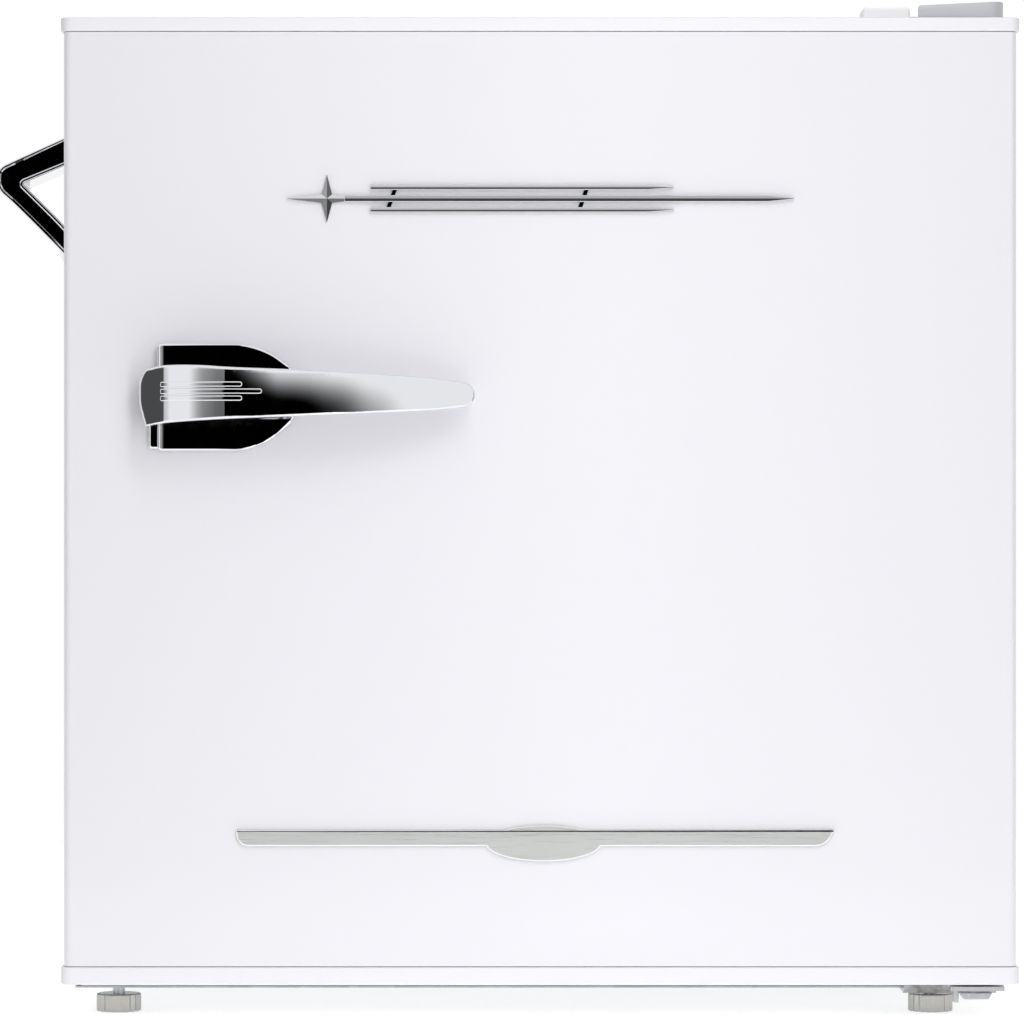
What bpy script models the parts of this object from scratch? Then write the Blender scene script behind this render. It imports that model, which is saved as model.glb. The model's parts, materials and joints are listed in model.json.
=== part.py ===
"""A small retro refrigerator: a foamed steel cabinet on levelling feet, a hinged door, and its cooling circuit.

The build frame has X = 0 on the cabinet's centre plane, Y = 0 on the door's front face with +Y towards the
back, and Z = 0 on the floor. The empty named fridge carries that frame to the middle of the whole object.
"""

import math

import bmesh
import bpy
from mathutils import Matrix, Vector

MM = 0.001
FIT = 0.3 * MM  # air left between two pieces that touch
OVERLAP = 0.5 * MM  # how far shapes that become one piece run into each other
BEYOND = 5 * MM  # how far a cutter runs past the wall it cuts
ROUND_STEPS = 20  # sides of a small round piece

# The cabinet.
CASE_WIDTH = 440 * MM
CASE_TOP = 469.8 * MM
CASE_BOTTOM = 12 * MM
CASE_DEPTH = 392 * MM
CASE_CORNER = 4 * MM
SHEET = 0.8 * MM
SIDE_WALL = 32.5 * MM
CEILING_WALL = 34.3 * MM
FLOOR_WALL = 38.5 * MM
BACK_WALL = 35.5 * MM
LINER_WALL = 1.5 * MM

# The door.
DOOR_WIDTH = 445 * MM
DOOR_HEIGHT = 448.5 * MM
DOOR_BOTTOM = 18 * MM
DOOR_DEPTH = 42 * MM
DOOR_CORNER = 4 * MM
CAP_OVERHANG = 1.5 * MM
CAP_TOP_HEIGHT = 6.4 * MM
CAP_BOTTOM_HEIGHT = 8.3 * MM
SKIN_LIP = 8 * MM
GASKET_GAP = 8 * MM
GASKET_WIDTH = 14 * MM
GASKET_INSET = 8 * MM
DIKE_HEIGHT = 25 * MM
DIKE_WIDTH = 15 * MM
DIKE_CLEARANCE = 11 * MM  # from the cavity's wall to the dike
DOOR_LINER_WALL = 1.2 * MM

# The hinges, which share one vertical axis.
HINGE_INSET = 12.5 * MM  # from the door's side
HINGE_DEPTH = 21 * MM  # from the door's front face
PIN_RADIUS = 3.5 * MM
PIN_CLEARANCE = 0.1 * MM
PIN_ENGAGEMENT = 14 * MM
BUSH_RADIUS = 6 * MM
HINGE_SHEET = 2 * MM
BRACKET_ARM = 25 * MM

# The feet.
FOOT_RADIUS = 10.6 * MM
FOOT_HEIGHT = 8.5 * MM
FOOT_FLUTES = 18
FOOT_FLUTE_DEPTH = 0.7 * MM
STUD_RADIUS = 3 * MM
STUD_LENGTH = 27 * MM
FOOT_SETBACK = 12 * MM  # from the cabinet's front
LEFT_FOOT_INSET = 20 * MM  # from the cabinet's side
RIGHT_FOOT_INSET = 34 * MM
REAR_FOOT_RADIUS = 12 * MM

# The compressor bay and what stands in it.
BAY_DEPTH = 142 * MM
BAY_TOP = 158 * MM
BAY_ROOF_WALL = 31 * MM
COMPRESSOR_RADIUS = 59 * MM
COMPRESSOR_TOP = 138 * MM
COMPRESSOR_X = 40 * MM
MOUNT_LENGTH = 170 * MM
MOUNT_WIDTH = 92 * MM
GROMMET_HEIGHT = 11 * MM

# The condenser on the back.
TUBE_RADIUS = 2.5 * MM
CONDENSER_WIDTH = 372 * MM
CONDENSER_PASSES = 8
CONDENSER_PITCH = 36 * MM
CONDENSER_BOTTOM = 182 * MM
CONDENSER_STANDOFF = 14 * MM

# Inside the cavity.
FREEZER_HALF_WIDTH = 172 * MM
FREEZER_HEIGHT = 111 * MM
FREEZER_FRONT = 195 * MM
FREEZER_WALL = 1.6 * MM
FRAME_DEPTH = 7.7 * MM
FLAP_THICKNESS = 6 * MM
FLAP_PIN_RADIUS = 2 * MM
SHELF_BOTTOM = 196 * MM
SHELF_GLASS = 4 * MM
SHELF_FRONT = 182 * MM
TRAY_BOTTOM = 296 * MM
TRAY_HEIGHT = 16 * MM
TRAY_FRONT = 192 * MM
TRAY_WALL = 2 * MM
LEDGE_WIDTH = 13 * MM
LEDGE_HEIGHT = 6 * MM
LEDGE_FRONT = 112 * MM
KNOB_RADIUS = 17 * MM
KNOB_DEPTH = 14 * MM

# Door bins.
BIN_HALF_WIDTH = 150 * MM
BIN_REACH = 118 * MM
BIN_WALL = 2 * MM
UPPER_BIN_BOTTOM = 285 * MM
UPPER_BIN_HEIGHT = 43 * MM
LOWER_BIN_BOTTOM = 88 * MM
LOWER_BIN_HEIGHT = 72 * MM

# The chrome on the door.
HANDLE_LEFT = -177.1 * MM
HANDLE_RIGHT = -112.4 * MM
HANDLE_BOTTOM = 265.3 * MM
HANDLE_TOP = 315.3 * MM
HANDLE_PLATE = 6 * MM
HANDLE_REACH = 38 * MM
LEVER_TIP = -29.9 * MM
LEVER_MIDDLE = 290.6 * MM
LEVER_END = -184.9 * MM
BADGE_HEIGHT = 382.4 * MM
BADGE_LENGTH = 235.4 * MM
BADGE_THICKNESS = 2.4 * MM
STRIP_LEFT = -141 * MM
STRIP_RIGHT = 136.6 * MM
STRIP_BOTTOM = 82.3 * MM
STRIP_TOP = 89.9 * MM
STRIP_THICKNESS = 1.6 * MM
OVAL_CENTRE = Vector((1.6 * MM, 83.7 * MM))
OVAL_HALF = Vector((26.9 * MM, 8.5 * MM))

# The bottle opener on the left side.
OPENER_SETBACK = 50 * MM  # from the cabinet's front to the opener's middle
OPENER_HEIGHT = 385.4 * MM
OPENER_REACH = 40 * MM
OPENER_PLATE = 3.2 * MM
OPENER_WIDTH = 62 * MM
OPENER_LENGTH = 67.6 * MM
OPENER_STRAP = 40 * MM
OPENER_STRAP_WALL = 10 * MM
OPENER_MOUTH = 28 * MM

# Worked out from the sizes above.
CASE_FRONT = DOOR_DEPTH + GASKET_GAP
CASE_BACK = CASE_FRONT + CASE_DEPTH
CASE_SIDE = CASE_WIDTH / 2
INSIDE_CASE = CASE_SIDE - SHEET - FIT
UNDER_CASE = CASE_TOP - SHEET - FIT
BAY_FRONT = CASE_BACK - BAY_DEPTH
CAVITY_SIDE = CASE_SIDE - SIDE_WALL - LINER_WALL
CAVITY_FLOOR = CASE_BOTTOM + FLOOR_WALL + LINER_WALL
CAVITY_TOP = CASE_TOP - CEILING_WALL - LINER_WALL
CAVITY_BACK = CASE_BACK - BACK_WALL - LINER_WALL
HUMP_FRONT = BAY_FRONT - BAY_ROOF_WALL
HUMP_TOP = BAY_TOP + BAY_ROOF_WALL + LINER_WALL
DOOR_TOP = DOOR_BOTTOM + DOOR_HEIGHT
DOOR_SIDE = DOOR_WIDTH / 2
SKIN_SIDE = DOOR_SIDE - CAP_OVERHANG
SKIN_BOTTOM = DOOR_BOTTOM + CAP_BOTTOM_HEIGHT
SKIN_TOP = DOOR_TOP - CAP_TOP_HEIGHT
SKIN_BACK = DOOR_DEPTH - 2 * MM
HINGE_X = DOOR_SIDE - HINGE_INSET
FREEZER_TOP = CAVITY_TOP - FIT
FREEZER_BOTTOM = FREEZER_TOP - FREEZER_HEIGHT
FRAME_FRONT = FREEZER_FRONT - FIT - FRAME_DEPTH
FLAP_AXIS_Y = FRAME_FRONT - 5 * MM
FLAP_AXIS_Z = FREEZER_TOP - 5.7 * MM
KNOB_Y = 292 * MM
KNOB_Z = 252 * MM
THERMOSTAT_WIDTH = 27.7 * MM
CONDENSER_Y = CASE_BACK + CONDENSER_STANDOFF
CONDENSER_TOP = CONDENSER_BOTTOM + (CONDENSER_PASSES - 1) * CONDENSER_PITCH
FEET_Y = CASE_FRONT + FOOT_SETBACK
LEFT_FOOT_X = LEFT_FOOT_INSET - CASE_SIDE
RIGHT_FOOT_X = CASE_SIDE - RIGHT_FOOT_INSET
OBJECT_BACK = CONDENSER_Y + TUBE_RADIUS
BRACKET_UNDER_DOOR = 15.5 * MM  # middle of the hinge bracket's sheet below the door
BRACKET_UNDER_CASE = CASE_BOTTOM - FIT - HINGE_SHEET / 2
HINGE_PLATE_BOTTOM = CASE_TOP + FIT
COVER_TOP = CASE_TOP + 5.5 * MM

# name: (sRGB colour, roughness, metallic)
FINISHES = {
    "white_enamel": ((0.94, 0.94, 0.96), 0.28, 0.0),
    "white_plastic": ((0.93, 0.93, 0.94), 0.45, 0.0),
    "grey_plastic": ((0.74, 0.75, 0.77), 0.35, 0.0),
    "liner_plastic": ((0.92, 0.93, 0.93), 0.4, 0.0),
    "clear_plastic": ((0.86, 0.91, 0.94), 0.2, 0.0),
    "foam": ((0.88, 0.8, 0.56), 0.95, 0.0),
    "chrome": ((0.82, 0.83, 0.85), 0.08, 1.0),
    "brushed_strip": ((0.78, 0.8, 0.79), 0.3, 1.0),
    "zinc_steel": ((0.66, 0.67, 0.68), 0.4, 1.0),
    "black_steel": ((0.03, 0.03, 0.03), 0.45, 0.0),
    "black_plastic": ((0.04, 0.04, 0.045), 0.5, 0.0),
    "rubber": ((0.05, 0.05, 0.05), 0.8, 0.0),
    "gasket": ((0.9, 0.9, 0.91), 0.7, 0.0),
    "glass": ((0.82, 0.92, 0.9), 0.03, 0.0),
    "aluminium": ((0.86, 0.87, 0.88), 0.35, 1.0),
    "copper": ((0.72, 0.43, 0.3), 0.3, 1.0),
}


# ---------------------------------------------------------------- helpers


def clear_scene():
    for obj in list(bpy.data.objects):
        bpy.data.objects.remove(obj)


def make_collection(name):
    collection = bpy.data.collections.new(name)
    bpy.context.scene.collection.children.link(collection)
    return collection


def make_finish(name):
    colour, roughness, metallic = FINISHES[name]
    material = bpy.data.materials.new(name)
    material.use_nodes = True
    surface = material.node_tree.nodes["Principled BSDF"]
    surface.inputs["Base Color"].default_value = (*[c**2.2 for c in colour], 1)
    surface.inputs["Roughness"].default_value = roughness
    surface.inputs["Metallic"].default_value = metallic
    return material


def pivot(name, place, parent):
    """An empty on a joint's axis. place is in the build frame."""
    empty = bpy.data.objects.new(name, None)
    PIECES.objects.link(empty)
    empty["place"] = list(place)
    empty.parent = parent
    empty.location = Vector(place) - Vector(parent["place"])
    return empty


def piece(name, mesh, finish, parent, place=(0, 0, 0)):
    """A named sub-part whose origin is at place, in the build frame."""
    obj = bpy.data.objects.new(name, mesh)
    PIECES.objects.link(obj)
    mesh.materials.clear()
    mesh.materials.append(bpy.data.materials[finish])
    obj.parent = parent
    obj.location = Vector(place) - Vector(parent["place"])
    return obj


def cutter(mesh, parent, place=(0, 0, 0)):
    """A helper that only cuts or joins other pieces."""
    obj = bpy.data.objects.new("cutter", mesh)
    CUTTERS.objects.link(obj)
    obj.hide_render = True
    obj.display_type = "WIRE"
    obj.parent = parent
    obj.location = Vector(place) - Vector(parent["place"])
    return obj


def combine(obj, operation, *meshes, place=(0, 0, 0)):
    """Cuts these meshes from obj, or joins them to it. Their points are in the build frame, less place."""
    for mesh in meshes:
        modifier = obj.modifiers.new(operation.lower(), "BOOLEAN")
        modifier.operation = operation
        modifier.object = cutter(mesh, obj.parent, place)
    return obj


def box_mesh(low, high, bevel=0.0, about=(0, 0, 0)):
    """A box between two corners. Its points are relative to about."""
    low, high = Vector(low), Vector(high)
    bm = bmesh.new()
    bmesh.ops.create_cube(bm, size=1)
    bmesh.ops.scale(bm, vec=high - low, verts=bm.verts)
    bmesh.ops.translate(bm, vec=(low + high) / 2 - Vector(about), verts=bm.verts)
    if bevel:
        bmesh.ops.bevel(
            bm, geom=bm.edges, offset=bevel, segments=2, profile=0.5, affect="EDGES"
        )
    return as_mesh(bm)


def as_mesh(bm):
    mesh = bpy.data.meshes.new("mesh")
    bm.to_mesh(mesh)
    bm.free()
    return mesh


def box(name, low, high, finish, parent, bevel=0.0):
    middle = (Vector(low) + Vector(high)) / 2
    return piece(name, box_mesh(low, high, bevel, middle), finish, parent, middle)


def open_box(name, low, high, wall, open_side, finish, parent):
    """A box with its outer faces between two corners and one side open. open_side is an outward direction."""
    middle = (Vector(low) + Vector(high)) / 2
    bm = bmesh.new()
    bm.from_mesh(box_mesh(low, high, 0.0, middle))
    lid = max(bm.faces, key=lambda face: face.normal.dot(Vector(open_side)))
    bmesh.ops.delete(bm, geom=[lid], context="FACES_ONLY")
    obj = piece(name, as_mesh(bm), finish, parent, middle)
    thicken(obj, wall)
    return obj


def thicken(obj, wall, offset=-1.0):
    """Gives an open surface its wall, inwards from its faces by default."""
    solidify = obj.modifiers.new("wall", "SOLIDIFY")
    solidify.thickness = wall
    solidify.offset = offset
    solidify.use_even_offset = True


AXES = {
    "X": Matrix(((0, 0, 1), (1, 0, 0), (0, 1, 0))).to_4x4(),
    "Y": Matrix(((1, 0, 0), (0, 0, -1), (0, 1, 0))).to_4x4(),
    "Z": Matrix.Identity(4),
}


def plate_mesh(outlines, axis, low, high):
    """A flat outline with any holes, extruded from low to high along an axis of the build frame.

    The outlines lie in the YZ plane for X, the XZ plane for Y and the XY plane for Z.
    """
    curve = bpy.data.curves.new("outline", "CURVE")
    curve.dimensions = "2D"
    curve.fill_mode = "BOTH"
    curve.extrude = (high - low) / 2
    for outline in outlines:
        spline = curve.splines.new("POLY")
        spline.points.add(len(outline) - 1)
        for point, (x, y) in zip(spline.points, outline):
            point.co = (x, y, 0, 1)
        spline.use_cyclic_u = True
    return mesh_of_curve(curve, AXES[axis], axis, (low + high) / 2)


def mesh_of_curve(curve, turn=None, axis=None, middle=0.0):
    """The welded mesh of a curve, turned and moved along an axis if that is given."""
    holder = bpy.data.objects.new("curve", curve)
    CUTTERS.objects.link(holder)
    graph = bpy.context.evaluated_depsgraph_get()
    mesh = bpy.data.meshes.new_from_object(holder.evaluated_get(graph))
    bpy.data.objects.remove(holder)
    bm = bmesh.new()
    bm.from_mesh(mesh)
    bmesh.ops.remove_doubles(bm, verts=bm.verts, dist=0.001 * MM)
    if turn:
        bmesh.ops.transform(bm, matrix=turn, verts=bm.verts)
        along = Vector([middle if letter == axis else 0 for letter in "XYZ"])
        bmesh.ops.translate(bm, vec=along, verts=bm.verts)
    return as_mesh(bm)


def plate(name, outlines, axis, low, high, finish, parent):
    return piece(name, plate_mesh(outlines, axis, low, high), finish, parent)


def rounded(corners, steps=4):
    """An outline from (x, y, radius) corners, each rounded by an arc."""
    outline = []
    for i, (x, y, radius) in enumerate(corners):
        here = Vector((x, y))
        before = Vector(corners[i - 1][:2]) - here
        after = Vector(corners[(i + 1) % len(corners)][:2]) - here
        if not radius:
            outline.append(here)
            continue
        half = before.angle(after) / 2
        run = radius / math.tan(half)
        centre = here + (before.normalized() + after.normalized()).normalized() * (
            radius / math.sin(half)
        )
        start = here + before.normalized() * run - centre
        end = here + after.normalized() * run - centre
        sweep = start.angle_signed(end)
        for k in range(steps + 1):
            turn = Matrix.Rotation(-sweep * k / steps, 2)
            outline.append(centre + turn @ start)
    return [tuple(point) for point in outline]


def rectangle(low_x, low_y, high_x, high_y, radius=0.0, steps=4):
    return rounded(
        [
            (low_x, low_y, radius),
            (high_x, low_y, radius),
            (high_x, high_y, radius),
            (low_x, high_y, radius),
        ],
        steps,
    )


def circle(x, y, radius, steps=ROUND_STEPS, squash=1.0):
    turns = [2 * math.pi * k / steps for k in range(steps)]
    return [
        (x + radius * math.cos(t), y + radius * squash * math.sin(t)) for t in turns
    ]


def bent_sheet_mesh(line, axis, low, high, outward):
    """An open line in the plane across an axis, drawn out along it into a sheet.

    outward is a direction in the build frame that the middle of the sheet's outer side faces.
    """
    bm = bmesh.new()
    turn = AXES[axis]
    along = Vector([low if letter == axis else 0 for letter in "XYZ"])
    verts = [bm.verts.new(turn @ Vector((x, y, 0)) + along) for x, y in line]
    edges = [bm.edges.new(pair) for pair in zip(verts, verts[1:])]
    made = bmesh.ops.extrude_edge_only(bm, edges=edges)["geom"]
    moved = [part for part in made if isinstance(part, bmesh.types.BMVert)]
    run = Vector([high - low if letter == axis else 0 for letter in "XYZ"])
    bmesh.ops.translate(bm, vec=run, verts=moved)
    bmesh.ops.recalc_face_normals(bm, faces=bm.faces)
    bm.normal_update()
    total = sum((face.normal * face.calc_area() for face in bm.faces), Vector())
    if total.dot(Vector(outward)) < 0:
        bmesh.ops.reverse_faces(bm, faces=bm.faces)
    return as_mesh(bm)


def bent_sheet(name, line, axis, low, high, outward, wall, finish, parent):
    """A sheet whose outer side follows the line."""
    obj = piece(
        name, bent_sheet_mesh(line, axis, low, high, outward), finish, parent
    )
    thicken(obj, wall)
    return obj


def open_line(corners, steps=4):
    """A rounded line that isn't closed: its first and last corners stay as they are."""
    first, last = corners[0][:2], corners[-1][:2]
    closed = rounded([(*first, 0), *corners[1:-1], (*last, 0)], steps)
    return closed


def rod_mesh(radius, axis, start, end, sides=ROUND_STEPS):
    """A cylinder between two points that differ along one axis."""
    start, end = Vector(start), Vector(end)
    bm = bmesh.new()
    bmesh.ops.create_cone(
        bm,
        cap_ends=True,
        segments=sides,
        radius1=radius,
        radius2=radius,
        depth=(end - start).length,
    )
    bmesh.ops.transform(bm, matrix=AXES[axis], verts=bm.verts)
    bmesh.ops.translate(bm, vec=(start + end) / 2, verts=bm.verts)
    return as_mesh(bm)


def rod(name, radius, axis, start, end, finish, parent, sides=ROUND_STEPS):
    middle = (Vector(start) + Vector(end)) / 2
    mesh = rod_mesh(
        radius, axis, Vector(start) - middle, Vector(end) - middle, sides
    )
    return smooth(piece(name, mesh, finish, parent, middle))


def turned(name, profile, axis, place, finish, parent, sides=ROUND_STEPS):
    """A solid of revolution about an axis through place. profile is (radius, height), from top to bottom."""
    bm = bmesh.new()
    verts = [bm.verts.new((radius, 0, height)) for radius, height in profile]
    for pair in zip(verts, verts[1:]):
        bm.edges.new(pair)
    obj = piece(name, as_mesh(bm), finish, parent, place)
    screw = obj.modifiers.new("turn", "SCREW")
    screw.steps = sides
    screw.render_steps = sides
    screw.use_merge_vertices = True
    screw.merge_threshold = 0.01 * MM
    obj.rotation_euler = AXES[axis].to_euler()
    return obj


def smooth(obj):
    obj.data.shade_smooth()
    obj.data.set_sharp_from_angle(angle=math.radians(35))
    return obj


def tube(name, points, radius, finish, parent):
    """A pipe along these points, in the build frame."""
    curve = bpy.data.curves.new(name, "CURVE")
    curve.dimensions = "3D"
    curve.bevel_depth = radius
    curve.bevel_resolution = 2
    curve.use_fill_caps = True
    spline = curve.splines.new("POLY")
    spline.points.add(len(points) - 1)
    for knot, point in zip(spline.points, points):
        knot.co = (*point, 1)
    obj = bpy.data.objects.new(name, curve)
    PIECES.objects.link(obj)
    curve.materials.append(bpy.data.materials[finish])
    obj.parent = parent
    obj.location = -Vector(parent["place"])
    return obj


def smooth_route(knots, steps=6):
    """Points on a Catmull-Rom curve through the knots."""
    knots = [Vector(knot) for knot in knots]
    padded = [2 * knots[0] - knots[1], *knots, 2 * knots[-1] - knots[-2]]
    route = []
    for a, b, c, d in zip(padded, padded[1:], padded[2:], padded[3:]):
        for k in range(steps):
            t = k / steps
            route.append(
                0.5
                * (
                    2 * b
                    + (c - a) * t
                    + (2 * a - 5 * b + 4 * c - d) * t**2
                    + (3 * b - a - 3 * c + d) * t**3
                )
            )
    return [*route, knots[-1]]


# ---------------------------------------------------------------- cabinet


def cavity_outline(grow=0.0, front=CASE_FRONT):
    """The cavity's side view, grown outwards: its floor rises into a hump over the compressor."""
    return [
        (front, CAVITY_FLOOR - grow),
        (HUMP_FRONT + grow, CAVITY_FLOOR - grow),
        (HUMP_FRONT + grow, HUMP_TOP - grow),
        (CAVITY_BACK + grow, HUMP_TOP - grow),
        (CAVITY_BACK + grow, CAVITY_TOP + grow),
        (front, CAVITY_TOP + grow),
    ]


def make_case(fridge):
    """The steel wrap over both sides and the top."""
    line = open_line(
        [
            (-CASE_SIDE, CASE_BOTTOM, 0),
            (-CASE_SIDE, CASE_TOP, CASE_CORNER),
            (CASE_SIDE, CASE_TOP, CASE_CORNER),
            (CASE_SIDE, CASE_BOTTOM, 0),
        ]
    )
    bent_sheet(
        "outer_case",
        line,
        "Y",
        CASE_FRONT,
        CASE_BACK,
        (0, 0, 1),
        SHEET,
        "white_enamel",
        fridge,
    )


def make_back_and_base(fridge):
    outline = rounded(
        [
            (-INSIDE_CASE, BAY_TOP, 0),
            (INSIDE_CASE, BAY_TOP, 0),
            (INSIDE_CASE, UNDER_CASE, CASE_CORNER),
            (-INSIDE_CASE, UNDER_CASE, CASE_CORNER),
        ]
    )
    plate(
        "rear_panel",
        [outline],
        "Y",
        CASE_BACK - SHEET,
        CASE_BACK,
        "zinc_steel",
        fridge,
    )
    line = [
        (CASE_FRONT + FIT, CASE_BOTTOM),
        (BAY_FRONT, CASE_BOTTOM),
        (BAY_FRONT, BAY_TOP),
        (CASE_BACK - SHEET - FIT, BAY_TOP),
    ]
    base = bent_sheet(
        "base_plate",
        line,
        "X",
        -INSIDE_CASE,
        INSIDE_CASE,
        (0, 0, -1),
        SHEET,
        "zinc_steel",
        fridge,
    )
    holes = [
        rod_mesh(
            STUD_RADIUS + FIT,
            "Z",
            (x, FEET_Y, CASE_BOTTOM - BEYOND),
            (x, FEET_Y, CASE_BOTTOM + BEYOND),
        )
        for x in (LEFT_FOOT_X, RIGHT_FOOT_X)
    ]
    combine(base, "DIFFERENCE", *holes)
    lip = 10 * MM
    tray = [
        (BAY_FRONT + 2 * MM, CASE_BOTTOM + lip),
        (BAY_FRONT + 2 * MM, CASE_BOTTOM),
        (CASE_BACK - 2 * MM, CASE_BOTTOM),
        (CASE_BACK - 2 * MM, CASE_BOTTOM + lip),
    ]
    bent_sheet(
        "compressor_tray",
        tray,
        "X",
        -INSIDE_CASE,
        INSIDE_CASE,
        (0, 0, -1),
        1.2 * MM,
        "zinc_steel",
        fridge,
    )


def make_insulation(fridge):
    """The foam between the case and the liner, with pockets over the front feet's studs."""
    inside = SHEET + FIT
    outline = [
        (CASE_FRONT + LINER_WALL + FIT, CASE_BOTTOM + inside),
        (BAY_FRONT - inside, CASE_BOTTOM + inside),
        (BAY_FRONT - inside, BAY_TOP + inside),
        (CASE_BACK - inside, BAY_TOP + inside),
        (CASE_BACK - inside, UNDER_CASE),
        (CASE_FRONT + LINER_WALL + FIT, UNDER_CASE),
    ]
    side = INSIDE_CASE - CASE_CORNER / 2
    foam = plate("insulation_foam", [outline], "X", -side, side, "foam", fridge)
    hollow_side = CAVITY_SIDE + LINER_WALL + FIT
    hollow = cavity_outline(LINER_WALL + FIT, CASE_FRONT - BEYOND)
    pockets = [
        rod_mesh(
            STUD_RADIUS + 1.5 * MM,
            "Z",
            (x, FEET_Y, CASE_BOTTOM - BEYOND),
            (x, FEET_Y, CASE_BOTTOM + FLOOR_WALL - 4 * MM),
            12,
        )
        for x in (LEFT_FOOT_X, RIGHT_FOOT_X)
    ]
    combine(
        foam,
        "DIFFERENCE",
        plate_mesh([hollow], "X", -hollow_side, hollow_side),
        *pockets,
    )


def make_liner(fridge):
    """The thermoformed white inside, with its front flange and the ledges for shelf and tray."""
    outer = CAVITY_SIDE + LINER_WALL
    liner = plate(
        "inner_liner",
        [cavity_outline(LINER_WALL)],
        "X",
        -outer,
        outer,
        "liner_plastic",
        fridge,
    )
    flange = rectangle(
        -INSIDE_CASE + CASE_CORNER / 2,
        CASE_BOTTOM + SHEET + FIT,
        INSIDE_CASE - CASE_CORNER / 2,
        UNDER_CASE,
        CASE_CORNER,
    )
    combine(
        liner,
        "UNION",
        plate_mesh([flange], "Y", CASE_FRONT, CASE_FRONT + LINER_WALL),
    )
    combine(
        liner,
        "DIFFERENCE",
        plate_mesh(
            [cavity_outline(0, CASE_FRONT - BEYOND)], "X", -CAVITY_SIDE, CAVITY_SIDE
        ),
    )
    for side in (-1, 1):
        for top, end in (
            (SHELF_BOTTOM, CAVITY_BACK),
            (SHELF_BOTTOM - 65 * MM, HUMP_FRONT),
            (TRAY_BOTTOM, CAVITY_BACK),
        ):
            inner = side * (CAVITY_SIDE - LEDGE_WIDTH)
            outer_edge = side * (CAVITY_SIDE + OVERLAP)
            combine(
                liner,
                "UNION",
                box_mesh(
                    (min(inner, outer_edge), LEDGE_FRONT, top - FIT - LEDGE_HEIGHT),
                    (max(inner, outer_edge), end + OVERLAP, top - FIT),
                ),
            )


# ---------------------------------------------------------------- inside


def make_freezer(fridge):
    """The evaporator box, its front frame with two hinge lugs, and the flap that hangs from them."""
    open_box(
        "evaporator_box",
        (-FREEZER_HALF_WIDTH, FREEZER_FRONT, FREEZER_BOTTOM),
        (FREEZER_HALF_WIDTH, CAVITY_BACK - 7 * MM, FREEZER_TOP),
        FREEZER_WALL,
        (0, -1, 0),
        "aluminium",
        fridge,
    )
    side = FREEZER_HALF_WIDTH + 8 * MM
    frame_low = FREEZER_BOTTOM - 6 * MM
    hole = rectangle(
        6 * MM - FREEZER_HALF_WIDTH,
        FREEZER_BOTTOM + 6 * MM,
        FREEZER_HALF_WIDTH - 6 * MM,
        FREEZER_TOP - 10 * MM,
        5 * MM,
    )
    outline = rectangle(-side, frame_low, side, FREEZER_TOP, 4 * MM)
    frame = plate(
        "freezer_frame",
        [outline, hole],
        "Y",
        FRAME_FRONT,
        FRAME_FRONT + FRAME_DEPTH,
        "white_plastic",
        fridge,
    )
    lug = 4 * MM
    lug_low = FLAP_AXIS_Z - 7 * MM
    lugs = [
        box_mesh(
            (min(x, x + s * lug), FLAP_AXIS_Y - 5 * MM, lug_low),
            (max(x, x + s * lug), FRAME_FRONT + OVERLAP, FREEZER_TOP - FIT),
        )
        for s in (-1, 1)
        for x in (s * (side - lug - 0.05 * MM),)
    ]
    combine(frame, "UNION", *lugs)
    holes = [
        rod_mesh(
            FLAP_PIN_RADIUS + PIN_CLEARANCE,
            "X",
            (s * side - BEYOND, FLAP_AXIS_Y, FLAP_AXIS_Z),
            (s * side + BEYOND, FLAP_AXIS_Y, FLAP_AXIS_Z),
            16,
        )
        for s in (-1, 1)
    ]
    combine(frame, "DIFFERENCE", *holes)

    hinge = pivot("freezer_flap_hinge", (0, FLAP_AXIS_Y, FLAP_AXIS_Z), fridge)
    half = side - lug - 1.5 * MM
    flap_back = FRAME_FRONT - 1.8 * MM
    flap_low = frame_low + 2 * MM
    flap = box(
        "freezer_flap",
        (-half, flap_back - FLAP_THICKNESS, flap_low),
        (half, flap_back, FLAP_AXIS_Z + 3 * MM),
        "clear_plastic",
        hinge,
        1 * MM,
    )
    reach = half + 3.5 * MM
    pins = [
        rod_mesh(
            FLAP_PIN_RADIUS,
            "X",
            (min(s * reach, s * (half - 3 * MM)), FLAP_AXIS_Y, FLAP_AXIS_Z),
            (max(s * reach, s * (half - 3 * MM)), FLAP_AXIS_Y, FLAP_AXIS_Z),
            16,
        )
        for s in (-1, 1)
    ]
    grip = box_mesh(
        (-30 * MM, flap_back - FLAP_THICKNESS - 6 * MM, flap_low + 2 * MM),
        (30 * MM, flap_back - FLAP_THICKNESS + OVERLAP, flap_low + 5 * MM),
    )
    combine(flap, "UNION", *pins, grip)


def make_drip_tray(fridge):
    slide = pivot("drip_tray_slide", (0, TRAY_FRONT, TRAY_BOTTOM), fridge)
    side = CAVITY_SIDE - 4 * MM
    tray = open_box(
        "drip_tray",
        (-side, TRAY_FRONT, TRAY_BOTTOM),
        (side, CAVITY_BACK - 10 * MM, TRAY_BOTTOM + TRAY_HEIGHT),
        TRAY_WALL,
        (0, 0, 1),
        "clear_plastic",
        slide,
    )
    lip = box_mesh(
        (-50 * MM, TRAY_FRONT - 6 * MM, TRAY_BOTTOM + TRAY_HEIGHT - 3 * MM),
        (50 * MM, TRAY_FRONT + OVERLAP, TRAY_BOTTOM + TRAY_HEIGHT - 0.5 * MM),
    )
    combine(tray, "UNION", lip)


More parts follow.
